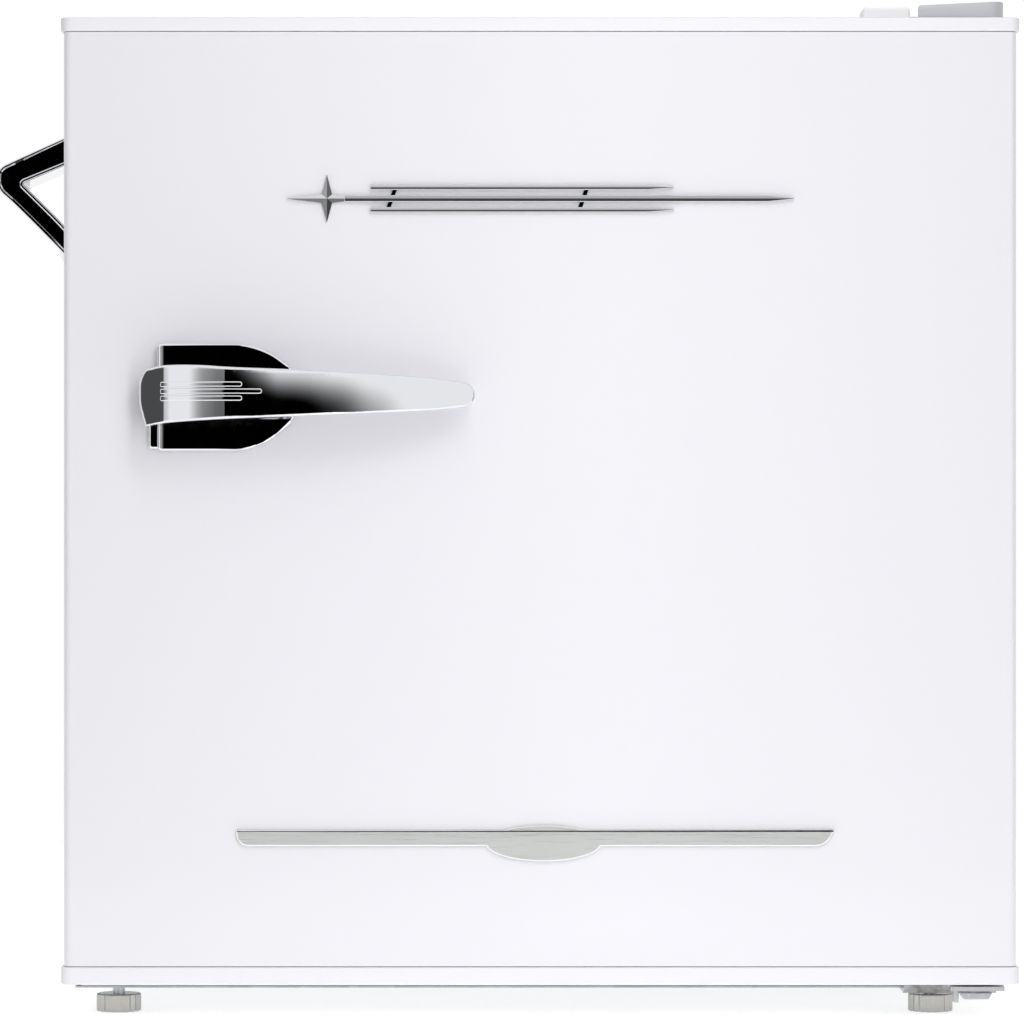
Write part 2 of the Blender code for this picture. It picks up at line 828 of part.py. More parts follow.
def make_shelf(fridge):
    """A glass shelf between two plastic trims, which slides on the liner's ledges."""
    slide = pivot("shelf_slide", (0, SHELF_FRONT, SHELF_BOTTOM), fridge)
    side = CAVITY_SIDE - 5 * MM
    back = CAVITY_BACK - 7 * MM
    middle = SHELF_BOTTOM + SHELF_GLASS / 2 + 1.5 * MM
    box(
        "shelf_glass",
        (-side, SHELF_FRONT, middle - SHELF_GLASS / 2),
        (side, back, middle + SHELF_GLASS / 2),
        "glass",
        slide,
        0.5 * MM,
    )
    slot = SHELF_GLASS / 2 + FIT
    wall = slot + 1.2 * MM
    for name, edge, inward in (
        ("shelf_front_trim", SHELF_FRONT, 1),
        ("shelf_rear_trim", back, -1),
    ):
        nose, stop = edge - inward * 4 * MM, edge - inward * FIT
        reach = edge + inward * 9 * MM
        channel = [
            (nose, middle - wall),
            (reach, middle - wall),
            (reach, middle - slot),
            (stop, middle - slot),
            (stop, middle + slot),
            (reach, middle + slot),
            (reach, middle + wall),
            (nose, middle + wall),
        ]
        plate(
            name,
            [channel],
            "X",
            -side - 0.5 * MM,
            side + 0.5 * MM,
            "white_plastic",
            slide,
        )


def make_thermostat(fridge):
    """The control housing on the right wall and its knob, whose stub turns in the housing."""
    face = CAVITY_SIDE - FIT - THERMOSTAT_WIDTH
    housing = box(
        "thermostat_housing",
        (face, KNOB_Y - 37 * MM, KNOB_Z - 27 * MM),
        (CAVITY_SIDE - FIT, KNOB_Y + 38 * MM, KNOB_Z + 27 * MM),
        "white_plastic",
        fridge,
        3 * MM,
    )
    stub_radius = 3 * MM
    stub_length = 9 * MM
    combine(
        housing,
        "DIFFERENCE",
        rod_mesh(
            stub_radius + PIN_CLEARANCE,
            "X",
            (face - BEYOND, KNOB_Y, KNOB_Z),
            (face + stub_length + 1 * MM, KNOB_Y, KNOB_Z),
        ),
    )
    axle = pivot("thermostat_axle", (face, KNOB_Y, KNOB_Z), fridge)
    chamfer = 1.5 * MM
    profile = [
        (0, stub_length),
        (stub_radius, stub_length),
        (stub_radius, -FIT),
        (KNOB_RADIUS, -FIT),
        (KNOB_RADIUS, -FIT - KNOB_DEPTH + chamfer),
        (KNOB_RADIUS - chamfer, -FIT - KNOB_DEPTH),
        (0, -FIT - KNOB_DEPTH),
    ]
    turned(
        "thermostat_knob",
        profile,
        "X",
        (face, KNOB_Y, KNOB_Z),
        "white_plastic",
        axle,
    )


# ---------------------------------------------------------------- cooling circuit


def make_compressor(fridge):
    y = (BAY_FRONT + CASE_BACK) / 2
    mount_bottom = CASE_BOTTOM + 1.2 * MM + FIT + GROMMET_HEIGHT
    mount_sheet = 2.5 * MM
    can_bottom = mount_bottom + mount_sheet + FIT
    seam = (can_bottom + COMPRESSOR_TOP) / 2
    r = COMPRESSOR_RADIUS
    profile = [
        (0, COMPRESSOR_TOP),
        (r * 0.45, COMPRESSOR_TOP - 1 * MM),
        (r * 0.75, COMPRESSOR_TOP - 7 * MM),
        (r * 0.9, COMPRESSOR_TOP - 18 * MM),
        (r * 0.96, seam + 4 * MM),
        (r, seam + 3 * MM),
        (r, seam - 3 * MM),
        (r * 0.96, seam - 4 * MM),
        (r * 0.9, can_bottom + 16 * MM),
        (r * 0.75, can_bottom + 5 * MM),
        (r * 0.55, can_bottom),
        (0, can_bottom),
    ]
    turned(
        "compressor", profile, "Z", (COMPRESSOR_X, y, 0), "black_steel", fridge, 32
    )
    half = Vector((MOUNT_LENGTH / 2, MOUNT_WIDTH / 2))
    hole_x, hole_y = half.x - 14 * MM, half.y - 13 * MM
    corners = [(sx, sy) for sx in (-1, 1) for sy in (-1, 1)]
    neck = 5 * MM
    loops = [rectangle(COMPRESSOR_X - half.x, y - half.y, COMPRESSOR_X + half.x, y + half.y, 8 * MM)]
    loops += [
        circle(COMPRESSOR_X + sx * hole_x, y + sy * hole_y, neck + FIT, 16)
        for sx, sy in corners
    ]
    plate(
        "compressor_mount",
        loops,
        "Z",
        mount_bottom,
        mount_bottom + mount_sheet,
        "black_steel",
        fridge,
    )
    names = ("left_front", "left_rear", "right_front", "right_rear")
    for name, (sx, sy) in zip(names, corners):
        spool = [
            (0, mount_bottom + mount_sheet + 4 * MM),
            (neck + 2 * MM, mount_bottom + mount_sheet + 4 * MM),
            (neck + 2 * MM, mount_bottom + mount_sheet + FIT),
            (neck, mount_bottom + mount_sheet + FIT),
            (neck, mount_bottom - FIT),
            (neck + 3 * MM, mount_bottom - FIT),
            (neck + 3 * MM, mount_bottom - GROMMET_HEIGHT),
            (0, mount_bottom - GROMMET_HEIGHT),
        ]
        turned(
            "grommet_" + name,
            spool,
            "Z",
            (COMPRESSOR_X + sx * hole_x, y + sy * hole_y, 0),
            "rubber",
            fridge,
            16,
        )
    relay_face = COMPRESSOR_X + r + 1 * MM
    box(
        "relay_cover",
        (relay_face, y - 25 * MM, seam - 24 * MM),
        (relay_face + 22 * MM, y + 25 * MM, seam + 24 * MM),
        "black_plastic",
        fridge,
        3 * MM,
    )
    dish_bottom = COMPRESSOR_TOP + 1 * MM
    open_box(
        "evaporating_dish",
        (COMPRESSOR_X - 60 * MM, y - 48 * MM, dish_bottom),
        (COMPRESSOR_X + 60 * MM, y + 48 * MM, dish_bottom + 13 * MM),
        1.5 * MM,
        (0, 0, 1),
        "black_plastic",
        fridge,
    )


def make_condenser(fridge):
    """A serpentine tube on two straps across the back, with the drier and the pipes to the compressor."""
    bend = CONDENSER_PITCH / 2
    run = CONDENSER_WIDTH / 2 - bend
    points = [(-run - bend, CONDENSER_Y, CONDENSER_BOTTOM)]
    bend_steps = 6
    for row in range(CONDENSER_PASSES):
        side = 1 if row % 2 == 0 else -1
        z = CONDENSER_BOTTOM + row * CONDENSER_PITCH
        if row == CONDENSER_PASSES - 1:
            points.append((side * (run + bend), CONDENSER_Y, z))
            break
        for k in range(bend_steps + 1):
            turn = math.pi * k / bend_steps
            points.append(
                (
                    side * (run + bend * math.sin(turn)),
                    CONDENSER_Y,
                    z + bend * (1 - math.cos(turn)),
                )
            )
    tube("condenser_tube", points, TUBE_RADIUS, "black_steel", fridge)
    for name, x in (("left", -150 * MM), ("right", 150 * MM)):
        box(
            "condenser_strap_" + name,
            (x - 6 * MM, CASE_BACK + FIT, CONDENSER_BOTTOM - 10 * MM),
            (x + 6 * MM, CONDENSER_Y - TUBE_RADIUS - FIT, CONDENSER_TOP + 10 * MM),
            "black_steel",
            fridge,
        )
    y = (BAY_FRONT + CASE_BACK) / 2
    inlet_x = -CONDENSER_WIDTH / 2
    can_side = COMPRESSOR_X - COMPRESSOR_RADIUS
    drier_x, drier_y = -118 * MM, CASE_BACK - 22 * MM
    drier = [
        (0, 138 * MM),
        (2.5 * MM, 138 * MM),
        (8 * MM, 128 * MM),
        (8 * MM, 66 * MM),
        (2.5 * MM, 56 * MM),
        (0, 56 * MM),
    ]
    turned(
        "filter_drier", drier, "Z", (drier_x, drier_y, 0), "copper", fridge, 20
    )
    discharge = smooth_route(
        [
            (can_side - 1 * MM, y, 66 * MM),
            (can_side - 28 * MM, y, 66 * MM),
            (-80 * MM, y + 8 * MM, 48 * MM),
            (-140 * MM, y + 30 * MM, 40 * MM),
            (inlet_x + 4 * MM, CASE_BACK - 14 * MM, 60 * MM),
            (inlet_x - 2 * MM, CONDENSER_Y - 4 * MM, 120 * MM),
            (inlet_x - 2 * MM, CONDENSER_Y - 1 * MM, CONDENSER_BOTTOM - 6 * MM),
        ],
        5,
    )
    tube("discharge_pipe", discharge, TUBE_RADIUS, "copper", fridge)
    suction = smooth_route(
        [
            (can_side - 1 * MM, y - 14 * MM, 100 * MM),
            (can_side - 24 * MM, y - 14 * MM, 100 * MM),
            (-70 * MM, y - 8 * MM, 116 * MM),
            (-84 * MM, y + 4 * MM, 140 * MM),
            (-84 * MM, y + 6 * MM, BAY_TOP - 1 * MM),
        ],
        5,
    )
    tube("suction_pipe", suction, 3 * MM, "copper", fridge)


# ---------------------------------------------------------------- hinges and feet


def make_hinges(fridge):
    """Below, a stepped bracket with its pin. Above, a plate with its pin, under two covers."""
    right = CASE_SIDE - 4 * MM
    left = RIGHT_FOOT_X - 14 * MM
    half = HINGE_SHEET / 2
    step = [
        (7 * MM, BRACKET_UNDER_DOOR + half),
        (CASE_FRONT - 8 * MM, BRACKET_UNDER_DOOR + half),
        (CASE_FRONT - 1 * MM, BRACKET_UNDER_CASE + half),
        (CASE_FRONT + 58 * MM, BRACKET_UNDER_CASE + half),
    ]
    bracket = bent_sheet(
        "lower_hinge_bracket",
        step,
        "X",
        left,
        right,
        (0, 0, 1),
        HINGE_SHEET,
        "zinc_steel",
        fridge,
    )
    foot_hole = rod_mesh(
        STUD_RADIUS + FIT,
        "Z",
        (RIGHT_FOOT_X, FEET_Y, CASE_BOTTOM - 2 * BEYOND),
        (RIGHT_FOOT_X, FEET_Y, CASE_BOTTOM + BEYOND),
    )
    pin_hole = rod_mesh(
        PIN_RADIUS + FIT,
        "Z",
        (HINGE_X, HINGE_DEPTH, BRACKET_UNDER_DOOR - BEYOND),
        (HINGE_X, HINGE_DEPTH, BRACKET_UNDER_DOOR + BEYOND),
    )
    notch = box_mesh(
        (left - BEYOND, -BEYOND, CASE_BOTTOM - 2 * BEYOND),
        (right - BRACKET_ARM, CASE_FRONT - 9 * MM, CASE_BOTTOM + 2 * BEYOND),
    )
    combine(bracket, "DIFFERENCE", foot_hole, pin_hole, notch)
    collar = PIN_RADIUS + 1.5 * MM
    chamfer = 0.6 * MM
    bracket_top = BRACKET_UNDER_DOOR + half
    pin = [
        (0, DOOR_BOTTOM + PIN_ENGAGEMENT),
        (PIN_RADIUS - chamfer, DOOR_BOTTOM + PIN_ENGAGEMENT),
        (PIN_RADIUS, DOOR_BOTTOM + PIN_ENGAGEMENT - chamfer),
        (PIN_RADIUS, DOOR_BOTTOM - FIT),
        (collar, DOOR_BOTTOM - FIT),
        (collar, bracket_top + FIT),
        (PIN_RADIUS, bracket_top + FIT),
        (PIN_RADIUS, bracket_top - HINGE_SHEET - 0.4 * MM),
        (0, bracket_top - HINGE_SHEET - 0.4 * MM),
    ]
    turned(
        "lower_hinge_pin",
        pin,
        "Z",
        (HINGE_X, HINGE_DEPTH, 0),
        "zinc_steel",
        fridge,
    )

    plate_left = 155 * MM
    plate_right = HINGE_X + 5 * MM
    plate_top = HINGE_PLATE_BOTTOM + HINGE_SHEET
    outline = rounded(
        [
            (plate_left, CASE_FRONT + 6 * MM, 3 * MM),
            (HINGE_X - 26 * MM, CASE_FRONT + 6 * MM, 5 * MM),
            (HINGE_X - 26 * MM, HINGE_DEPTH - 6 * MM, 4 * MM),
            (plate_right, HINGE_DEPTH - 6 * MM, 4 * MM),
            (plate_right, CASE_FRONT + 24 * MM, 3 * MM),
            (plate_left, CASE_FRONT + 24 * MM, 3 * MM),
        ]
    )
    hole = circle(HINGE_X, HINGE_DEPTH, PIN_RADIUS + FIT)
    plate(
        "upper_hinge_plate",
        [outline, hole],
        "Z",
        HINGE_PLATE_BOTTOM,
        plate_top,
        "zinc_steel",
        fridge,
    )
    upper_pin = [
        (0, plate_top + 0.4 * MM),
        (PIN_RADIUS, plate_top + 0.4 * MM),
        (PIN_RADIUS, HINGE_PLATE_BOTTOM - FIT),
        (collar, HINGE_PLATE_BOTTOM - FIT),
        (collar, DOOR_TOP + FIT),
        (PIN_RADIUS, DOOR_TOP + FIT),
        (PIN_RADIUS, DOOR_TOP - PIN_ENGAGEMENT + chamfer),
        (PIN_RADIUS - chamfer, DOOR_TOP - PIN_ENGAGEMENT),
        (0, DOOR_TOP - PIN_ENGAGEMENT),
    ]
    turned(
        "upper_hinge_pin",
        upper_pin,
        "Z",
        (HINGE_X, HINGE_DEPTH, 0),
        "zinc_steel",
        fridge,
    )
    make_hinge_covers(fridge, plate_left, plate_right)


def make_hinge_covers(fridge, plate_left, plate_right):
    wall = 1.4 * MM
    left, right = HINGE_X - 34 * MM, plate_right + FIT + wall
    front, back = 11 * MM, CASE_FRONT + 26 * MM + wall
    skirt = DOOR_TOP + 0.8 * MM
    outline = rounded(
        [
            (front, skirt, 0),
            (CASE_FRONT - FIT, skirt, 0),
            (CASE_FRONT - FIT, HINGE_PLATE_BOTTOM, 0),
            (back, HINGE_PLATE_BOTTOM, 0),
            (back, COVER_TOP, 2 * MM),
            (front, COVER_TOP, 2 * MM),
        ]
    )
    cover = plate(
        "hinge_cover", [outline], "X", left, right, "grey_plastic", fridge
    )
    combine(
        cover,
        "DIFFERENCE",
        box_mesh(
            (left + wall, front + wall, skirt - BEYOND),
            (right - wall, back - wall, COVER_TOP - wall),
        ),
        box_mesh(
            (left - BEYOND, CASE_FRONT + 5 * MM, HINGE_PLATE_BOTTOM - BEYOND),
            (left + 2 * wall, back - wall, HINGE_PLATE_BOTTOM + HINGE_SHEET + FIT),
        ),
    )
    cap_front, cap_back = CASE_FRONT + 4 * MM, CASE_FRONT + 26 * MM + wall
    cap_left = plate_left - FIT - wall
    cap = open_box(
        "hinge_screw_cover",
        (cap_left, cap_front, HINGE_PLATE_BOTTOM),
        (left - FIT, cap_back, CASE_TOP + 6.7 * MM),
        wall,
        (0, 0, -1),
        "white_plastic",
        fridge,
    )
    combine(
        cap,
        "DIFFERENCE",
        box_mesh(
            (left - BEYOND, CASE_FRONT + 5.6 * MM, HINGE_PLATE_BOTTOM - BEYOND),
            (left + BEYOND, cap_back - wall, HINGE_PLATE_BOTTOM + HINGE_SHEET + FIT),
        ),
    )


def fluted_outline(x, y, radius, flutes, depth):
    steps = flutes * 3
    outline = []
    for k in range(steps):
        turn = 2 * math.pi * k / steps
        here = radius - depth * (1 - math.cos(flutes * turn)) / 2
        outline.append((x + here * math.cos(turn), y + here * math.sin(turn)))
    return outline


def make_feet(fridge):
    """Two levelling feet in front, each a fluted pad on a stud, and two fixed feet behind."""
    socket = 3 * MM
    for side, x in (("left", LEFT_FOOT_X), ("right", RIGHT_FOOT_X)):
        lift = pivot(side + "_foot_lift", (x, FEET_Y, 0), fridge)
        turn = pivot(side + "_foot_turn", (x, FEET_Y, 0), lift)
        rod(
            side + "_foot_stud",
            STUD_RADIUS,
            "Z",
            (x, FEET_Y, socket + FIT),
            (x, FEET_Y, socket + FIT + STUD_LENGTH),
            "zinc_steel",
            lift,
            20,
        )
        rim = fluted_outline(x, FEET_Y, FOOT_RADIUS, FOOT_FLUTES, FOOT_FLUTE_DEPTH)
        foot = plate(
            side + "_foot", [rim], "Z", 0, FOOT_HEIGHT, "white_plastic", turn
        )
        foot.location = -Vector(turn["place"])
        combine(
            foot,
            "DIFFERENCE",
            rod_mesh(
                STUD_RADIUS + FIT,
                "Z",
                (x, FEET_Y, socket),
                (x, FEET_Y, FOOT_HEIGHT + BEYOND),
            ),
        )
        rod(
            side + "_rear_foot",
            REAR_FOOT_RADIUS,
            "Z",
            (math.copysign(190 * MM, x), CASE_BACK - 24 * MM, 0),
            (math.copysign(190 * MM, x), CASE_BACK - 24 * MM, CASE_BOTTOM - FIT),
            "rubber",
            fridge,
            20,
        )


# ---------------------------------------------------------------- bottle opener


def make_opener(fridge):
    """A cast plate with a strap that comes out and back, open below for the bottle's cap."""
    y = CASE_FRONT + OPENER_SETBACK
    wall_x = -CASE_SIDE - FIT
    z = OPENER_HEIGHT
    half = OPENER_LENGTH / 2
    outline = rectangle(
        y - OPENER_WIDTH / 2, z - half, y + OPENER_WIDTH / 2, z + half, 9 * MM
    )
    opener = plate(
        "bottle_opener",
        [outline],
        "X",
        wall_x - OPENER_PLATE,
        wall_x,
        "chrome",
        fridge,
    )
    reach = OPENER_REACH - FIT - OPENER_STRAP_WALL / 2
    root = OPENER_PLATE - OVERLAP

    def out(u, rise, radius=0.0):
        return (wall_x - u, z + rise, radius)

    line = open_line(
        [
            out(root, half - 5.8 * MM),
            out(reach - 4 * MM, 15.5 * MM, 3 * MM),
            out(reach, 13.5 * MM, 1 * MM),
            out(reach, 8.5 * MM, 1 * MM),
            out(reach - 4 * MM, 5.5 * MM, 3 * MM),
            out(14 * MM, -11 * MM, 15 * MM),
            out(root, -21 * MM),
        ],
        2,
    )
    strap = bpy.data.objects.new(
        "strap",
        bent_sheet_mesh(
            line, "Y", y - OPENER_STRAP / 2, y + OPENER_STRAP / 2, (-1, 0, 0)
        ),
    )
    CUTTERS.objects.link(strap)
    thicken(strap, OPENER_STRAP_WALL, 0.0)
    graph = bpy.context.evaluated_depsgraph_get()
    strap_mesh = bpy.data.meshes.new_from_object(strap.evaluated_get(graph))
    bpy.data.objects.remove(strap)
    mouth = box_mesh(
        (wall_x - 27 * MM, y - OPENER_MOUTH / 2, z - 26 * MM),
        (wall_x - 9 * MM, y + OPENER_MOUTH / 2, z + 6 * MM),
    )
    bm = bmesh.new()
    bmesh.ops.create_uvsphere(bm, u_segments=12, v_segments=6, radius=1)
    rest_size = Vector((11.5 * MM, 22 * MM, 12 * MM))
    bmesh.ops.scale(bm, vec=rest_size, verts=bm.verts)
    bmesh.ops.translate(bm, vec=(wall_x, y, z - half + rest_size.z + 1 * MM), verts=bm.verts)
    rest = as_mesh(bm)
    beyond_wall = box_mesh(
        (wall_x, y - OPENER_WIDTH, z - OPENER_LENGTH),
        (wall_x + 30 * MM, y + OPENER_WIDTH, z + OPENER_LENGTH),
    )
    screws = [
        rod_mesh(
            2.4 * MM,
            "X",
            (wall_x - 2 * BEYOND, screw_y, screw_z),
            (wall_x + BEYOND, screw_y, screw_z),
            8,
        )
        for screw_y, screw_z in opener_screws(y, z)
    ]
    combine(opener, "UNION", strap_mesh)
    combine(opener, "DIFFERENCE", mouth)
    combine(opener, "UNION", rest)
    combine(opener, "DIFFERENCE", beyond_wall, *screws)
    for name, (screw_y, screw_z) in zip(("front", "rear"), opener_screws(y, z)):
        head = [
            (0, 1.5 * MM),
            (2 * MM, 1.5 * MM),
            (2 * MM, -OPENER_PLATE - FIT),
            (4.2 * MM, -OPENER_PLATE - FIT),
            (3.2 * MM, -OPENER_PLATE - 1.9 * MM),
            (0, -OPENER_PLATE - 2.4 * MM),
        ]
        head = [(radius, min(height, -FIT)) for radius, height in head]
        turned(
            "opener_screw_" + name,
            head,
            "X",
            (wall_x, screw_y, screw_z),
            "chrome",
            fridge,
            16,
        )


def opener_screws(y, z):
    """Where the plate's two screws sit, beside the strap."""
    side = (OPENER_WIDTH + OPENER_STRAP) / 4
    return [(y - side, z - 18 * MM), (y + side, z - 18 * MM)]


# ---------------------------------------------------------------- door


def door_plan(side, front, back, radius):
    """The door's plan view: rounded at the front, square behind."""
    return rounded(
        [
            (-side, back, 0),
            (side, back, 0),
            (side, front, radius),
            (-side, front, radius),
        ]
    )


def make_door_shell(door):
    """The bent steel skin between two plastic end caps, over a foam core."""
    side = SKIN_SIDE
    skin = open_line(
        [
            (side - SKIN_LIP, SKIN_BACK, 0),
            (side, SKIN_BACK, 1.5 * MM),
            (side, 0, DOOR_CORNER),
            (-side, 0, DOOR_CORNER),
            (-side, SKIN_BACK, 1.5 * MM),
            (SKIN_LIP - side, SKIN_BACK, 0),
        ]
    )
    bent_sheet(
        "door_skin",
        skin,
        "Z",
        SKIN_BOTTOM + FIT,
        SKIN_TOP - FIT,
        (0, -1, 0),
        SHEET,
        "white_enamel",
        door,
    )
    bush_hole = circle(HINGE_X, HINGE_DEPTH, BUSH_RADIUS + FIT)
    for name, low, high in (
        ("door_cap_bottom", DOOR_BOTTOM, SKIN_BOTTOM),
        ("door_cap_top", SKIN_TOP, DOOR_TOP),
    ):
        plan = door_plan(DOOR_SIDE, -0.4 * MM, DOOR_DEPTH - 0.6 * MM, DOOR_CORNER + CAP_OVERHANG)
        plate(name, [plan, bush_hole], "Z", low, high, "white_plastic", door)
    inside = SHEET + FIT
    plan = door_plan(side - inside, inside, SKIN_BACK - inside, DOOR_CORNER)
    core = plate(
        "door_foam",
        [plan],
        "Z",
        SKIN_BOTTOM + FIT,
        SKIN_TOP - FIT,
        "foam",
        door,
    )
    depth = PIN_ENGAGEMENT + 2 * MM
    pockets = [
        rod_mesh(
            BUSH_RADIUS + FIT,
            "Z",
            (HINGE_X, HINGE_DEPTH, low),
            (HINGE_X, HINGE_DEPTH, high),
        )
        for low, high in (
            (DOOR_BOTTOM, DOOR_BOTTOM + depth),
            (DOOR_TOP - depth, DOOR_TOP),
        )
    ]
    combine(core, "DIFFERENCE", *pockets)
    sleeve = [
        circle(HINGE_X, HINGE_DEPTH, BUSH_RADIUS),
        circle(HINGE_X, HINGE_DEPTH, PIN_RADIUS + PIN_CLEARANCE),
    ]
    length = PIN_ENGAGEMENT + 1 * MM
    plate(
        "lower_hinge_bush",
        sleeve,
        "Z",
        DOOR_BOTTOM + FIT,
        DOOR_BOTTOM + length,
        "black_plastic",
        door,
    )
    plate(
        "upper_hinge_bush",
        sleeve,
        "Z",
        DOOR_TOP - length,
        DOOR_TOP - FIT,
        "black_plastic",
        door,
    )


def make_door_liner(door):
    """The door's white inside: a flat rim for the gasket, a raised dike, and a panel behind the bins."""
    rim = SKIN_BACK + FIT
    crest = rim + DIKE_HEIGHT
    panel = rim + 6 * MM
    foot = CAVITY_SIDE - DIKE_CLEARANCE + 4 * MM
    crest_out = CAVITY_SIDE - DIKE_CLEARANCE
    crest_in = crest_out - DIKE_WIDTH
    panel_side = crest_in - 5 * MM
    outside = SKIN_SIDE - 3 * MM
    middle = (CAVITY_FLOOR + CAVITY_TOP) / 2
    half = (CAVITY_TOP - CAVITY_FLOOR) / 2
    door_middle = (SKIN_BOTTOM + SKIN_TOP) / 2
    door_half = (SKIN_TOP - SKIN_BOTTOM) / 2
    rings = [
        (outside, door_middle, door_half - 1 * MM, rim, 3 * MM),
        (foot, middle, half - CAVITY_SIDE + foot, rim, 10 * MM),
        (crest_out, middle, half - CAVITY_SIDE + crest_out, crest - 3 * MM, 10 * MM),
        (crest_out - 3 * MM, middle, half - CAVITY_SIDE + crest_out - 3 * MM, crest, 8 * MM),
        (crest_in + 3 * MM, middle, half - CAVITY_SIDE + crest_in + 3 * MM, crest, 6 * MM),
        (crest_in, middle, half - CAVITY_SIDE + crest_in, crest - 3 * MM, 6 * MM),
        (panel_side, middle, half - CAVITY_SIDE + panel_side, panel, 6 * MM),
    ]
    bm = bmesh.new()
    loops = []
    for side, centre, rise, depth, radius in rings:
        outline = rectangle(-side, centre - rise, side, centre + rise, radius, 3)
        verts = [bm.verts.new((x, depth, z)) for x, z in outline]
        loops.append(
            [bm.edges.new(pair) for pair in zip(verts, verts[1:] + verts[:1])]
        )
    for first, second in zip(loops, loops[1:]):
        bmesh.ops.bridge_loops(bm, edges=first + second)
    bmesh.ops.contextual_create(bm, geom=loops[-1])
    bmesh.ops.recalc_face_normals(bm, faces=bm.faces)
    bm.normal_update()
    panel_face = max(bm.faces, key=lambda face: face.calc_area())
    if panel_face.normal.y < 0:
        bmesh.ops.reverse_faces(bm, faces=bm.faces)
    liner = piece("door_liner", as_mesh(bm), "liner_plastic", door)
    thicken(liner, DOOR_LINER_WALL, 1.0)


def make_gasket(door):
    outer = DOOR_SIDE - GASKET_INSET
    low, high = DOOR_BOTTOM + 10.5 * MM, DOOR_TOP - 8.5 * MM
    front = SKIN_BACK + FIT + DOOR_LINER_WALL + FIT
    loops = [
        rectangle(-outer, low, outer, high, 4 * MM),
        rectangle(
            GASKET_WIDTH - outer,
            low + GASKET_WIDTH,
            outer - GASKET_WIDTH,
            high - GASKET_WIDTH,
            2 * MM,
        ),
    ]
    plate("door_gasket", loops, "Y", front, CASE_FRONT - 0.5 * MM, "gasket", door)


def make_bins(door):
    front = SKIN_BACK + 8 * MM
    for name, bottom, height in (
        ("upper_door_bin", UPPER_BIN_BOTTOM, UPPER_BIN_HEIGHT),
        ("lower_door_bin", LOWER_BIN_BOTTOM, LOWER_BIN_HEIGHT),
    ):
        open_box(
            name,
            (-BIN_HALF_WIDTH, front, bottom),
            (BIN_HALF_WIDTH, BIN_REACH, bottom + height),
            BIN_WALL,
            (0, 0, 1),
            "clear_plastic",
            door,
        )


def make_handle(door):
    """A chrome plate and the lever on it, whose blade leaves room for fingers behind it."""
    shoulder = HANDLE_RIGHT - 11.6 * MM
    outline = rounded(
        [
            (HANDLE_LEFT, HANDLE_BOTTOM, 2.5 * MM),
            (shoulder, HANDLE_BOTTOM, 12 * MM),
            (HANDLE_RIGHT, HANDLE_BOTTOM + 14 * MM, 0.8 * MM),
            (HANDLE_RIGHT, HANDLE_TOP - 12 * MM, 0.8 * MM),
            (shoulder, HANDLE_TOP, 12 * MM),
            (HANDLE_LEFT, HANDLE_TOP, 2.5 * MM),
        ]
    )
    plate(
        "handle_plate", [outline], "Y", -FIT - HANDLE_PLATE, -FIT, "chrome", door
    )
    root = -HANDLE_PLATE - 2 * FIT
    front = -HANDLE_REACH
    plan = [
        (LEVER_END, root),
        (LEVER_END + 9 * MM, front + 7 * MM),
        (LEVER_END + 24 * MM, front + 1.5 * MM),
        (LEVER_END + 39 * MM, front),
        (-100 * MM, front + 1 * MM),
        (-60 * MM, front + 4.5 * MM),
        (-40 * MM, front + 8.5 * MM),
        (LEVER_TIP, front + 12 * MM),
        (LEVER_TIP, front + 14 * MM),
        (-60 * MM, front + 12.5 * MM),
        (-100 * MM, front + 12 * MM),
        (-116 * MM, front + 15 * MM),
        (-125 * MM, front + 22 * MM),
        (-129 * MM, root),
    ]
    z = LEVER_MIDDLE
    face = [
        (LEVER_END, z - 13.1 * MM),
        (LEVER_END, z + 10.4 * MM),
        (LEVER_END + 4 * MM, z + 13.7 * MM),
        (LEVER_END + 25 * MM, z + 14.5 * MM),
        (-112 * MM, z + 12.3 * MM),
        (-65 * MM, z + 8.9 * MM),
        (-46 * MM, z + 6.2 * MM),
        (-36 * MM, z + 3.4 * MM),
        (LEVER_TIP, z),
        (-33.5 * MM, z - 4 * MM),
        (-46 * MM, z - 6.2 * MM),
        (-65 * MM, z - 7.1 * MM),
        (-112 * MM, z - 9.4 * MM),
        (-150 * MM, z - 10.3 * MM),
        (LEVER_END + 9 * MM, z - 15 * MM),
        (LEVER_END + 4 * MM, z - 15.4 * MM),
    ]
    lever = plate(
        "handle_lever", [plan], "Z", z - 20 * MM, z + 20 * MM, "chrome", door
    )
    combine(
        lever,
        "INTERSECT",
        plate_mesh([face], "Y", front - BEYOND, BEYOND),
    )


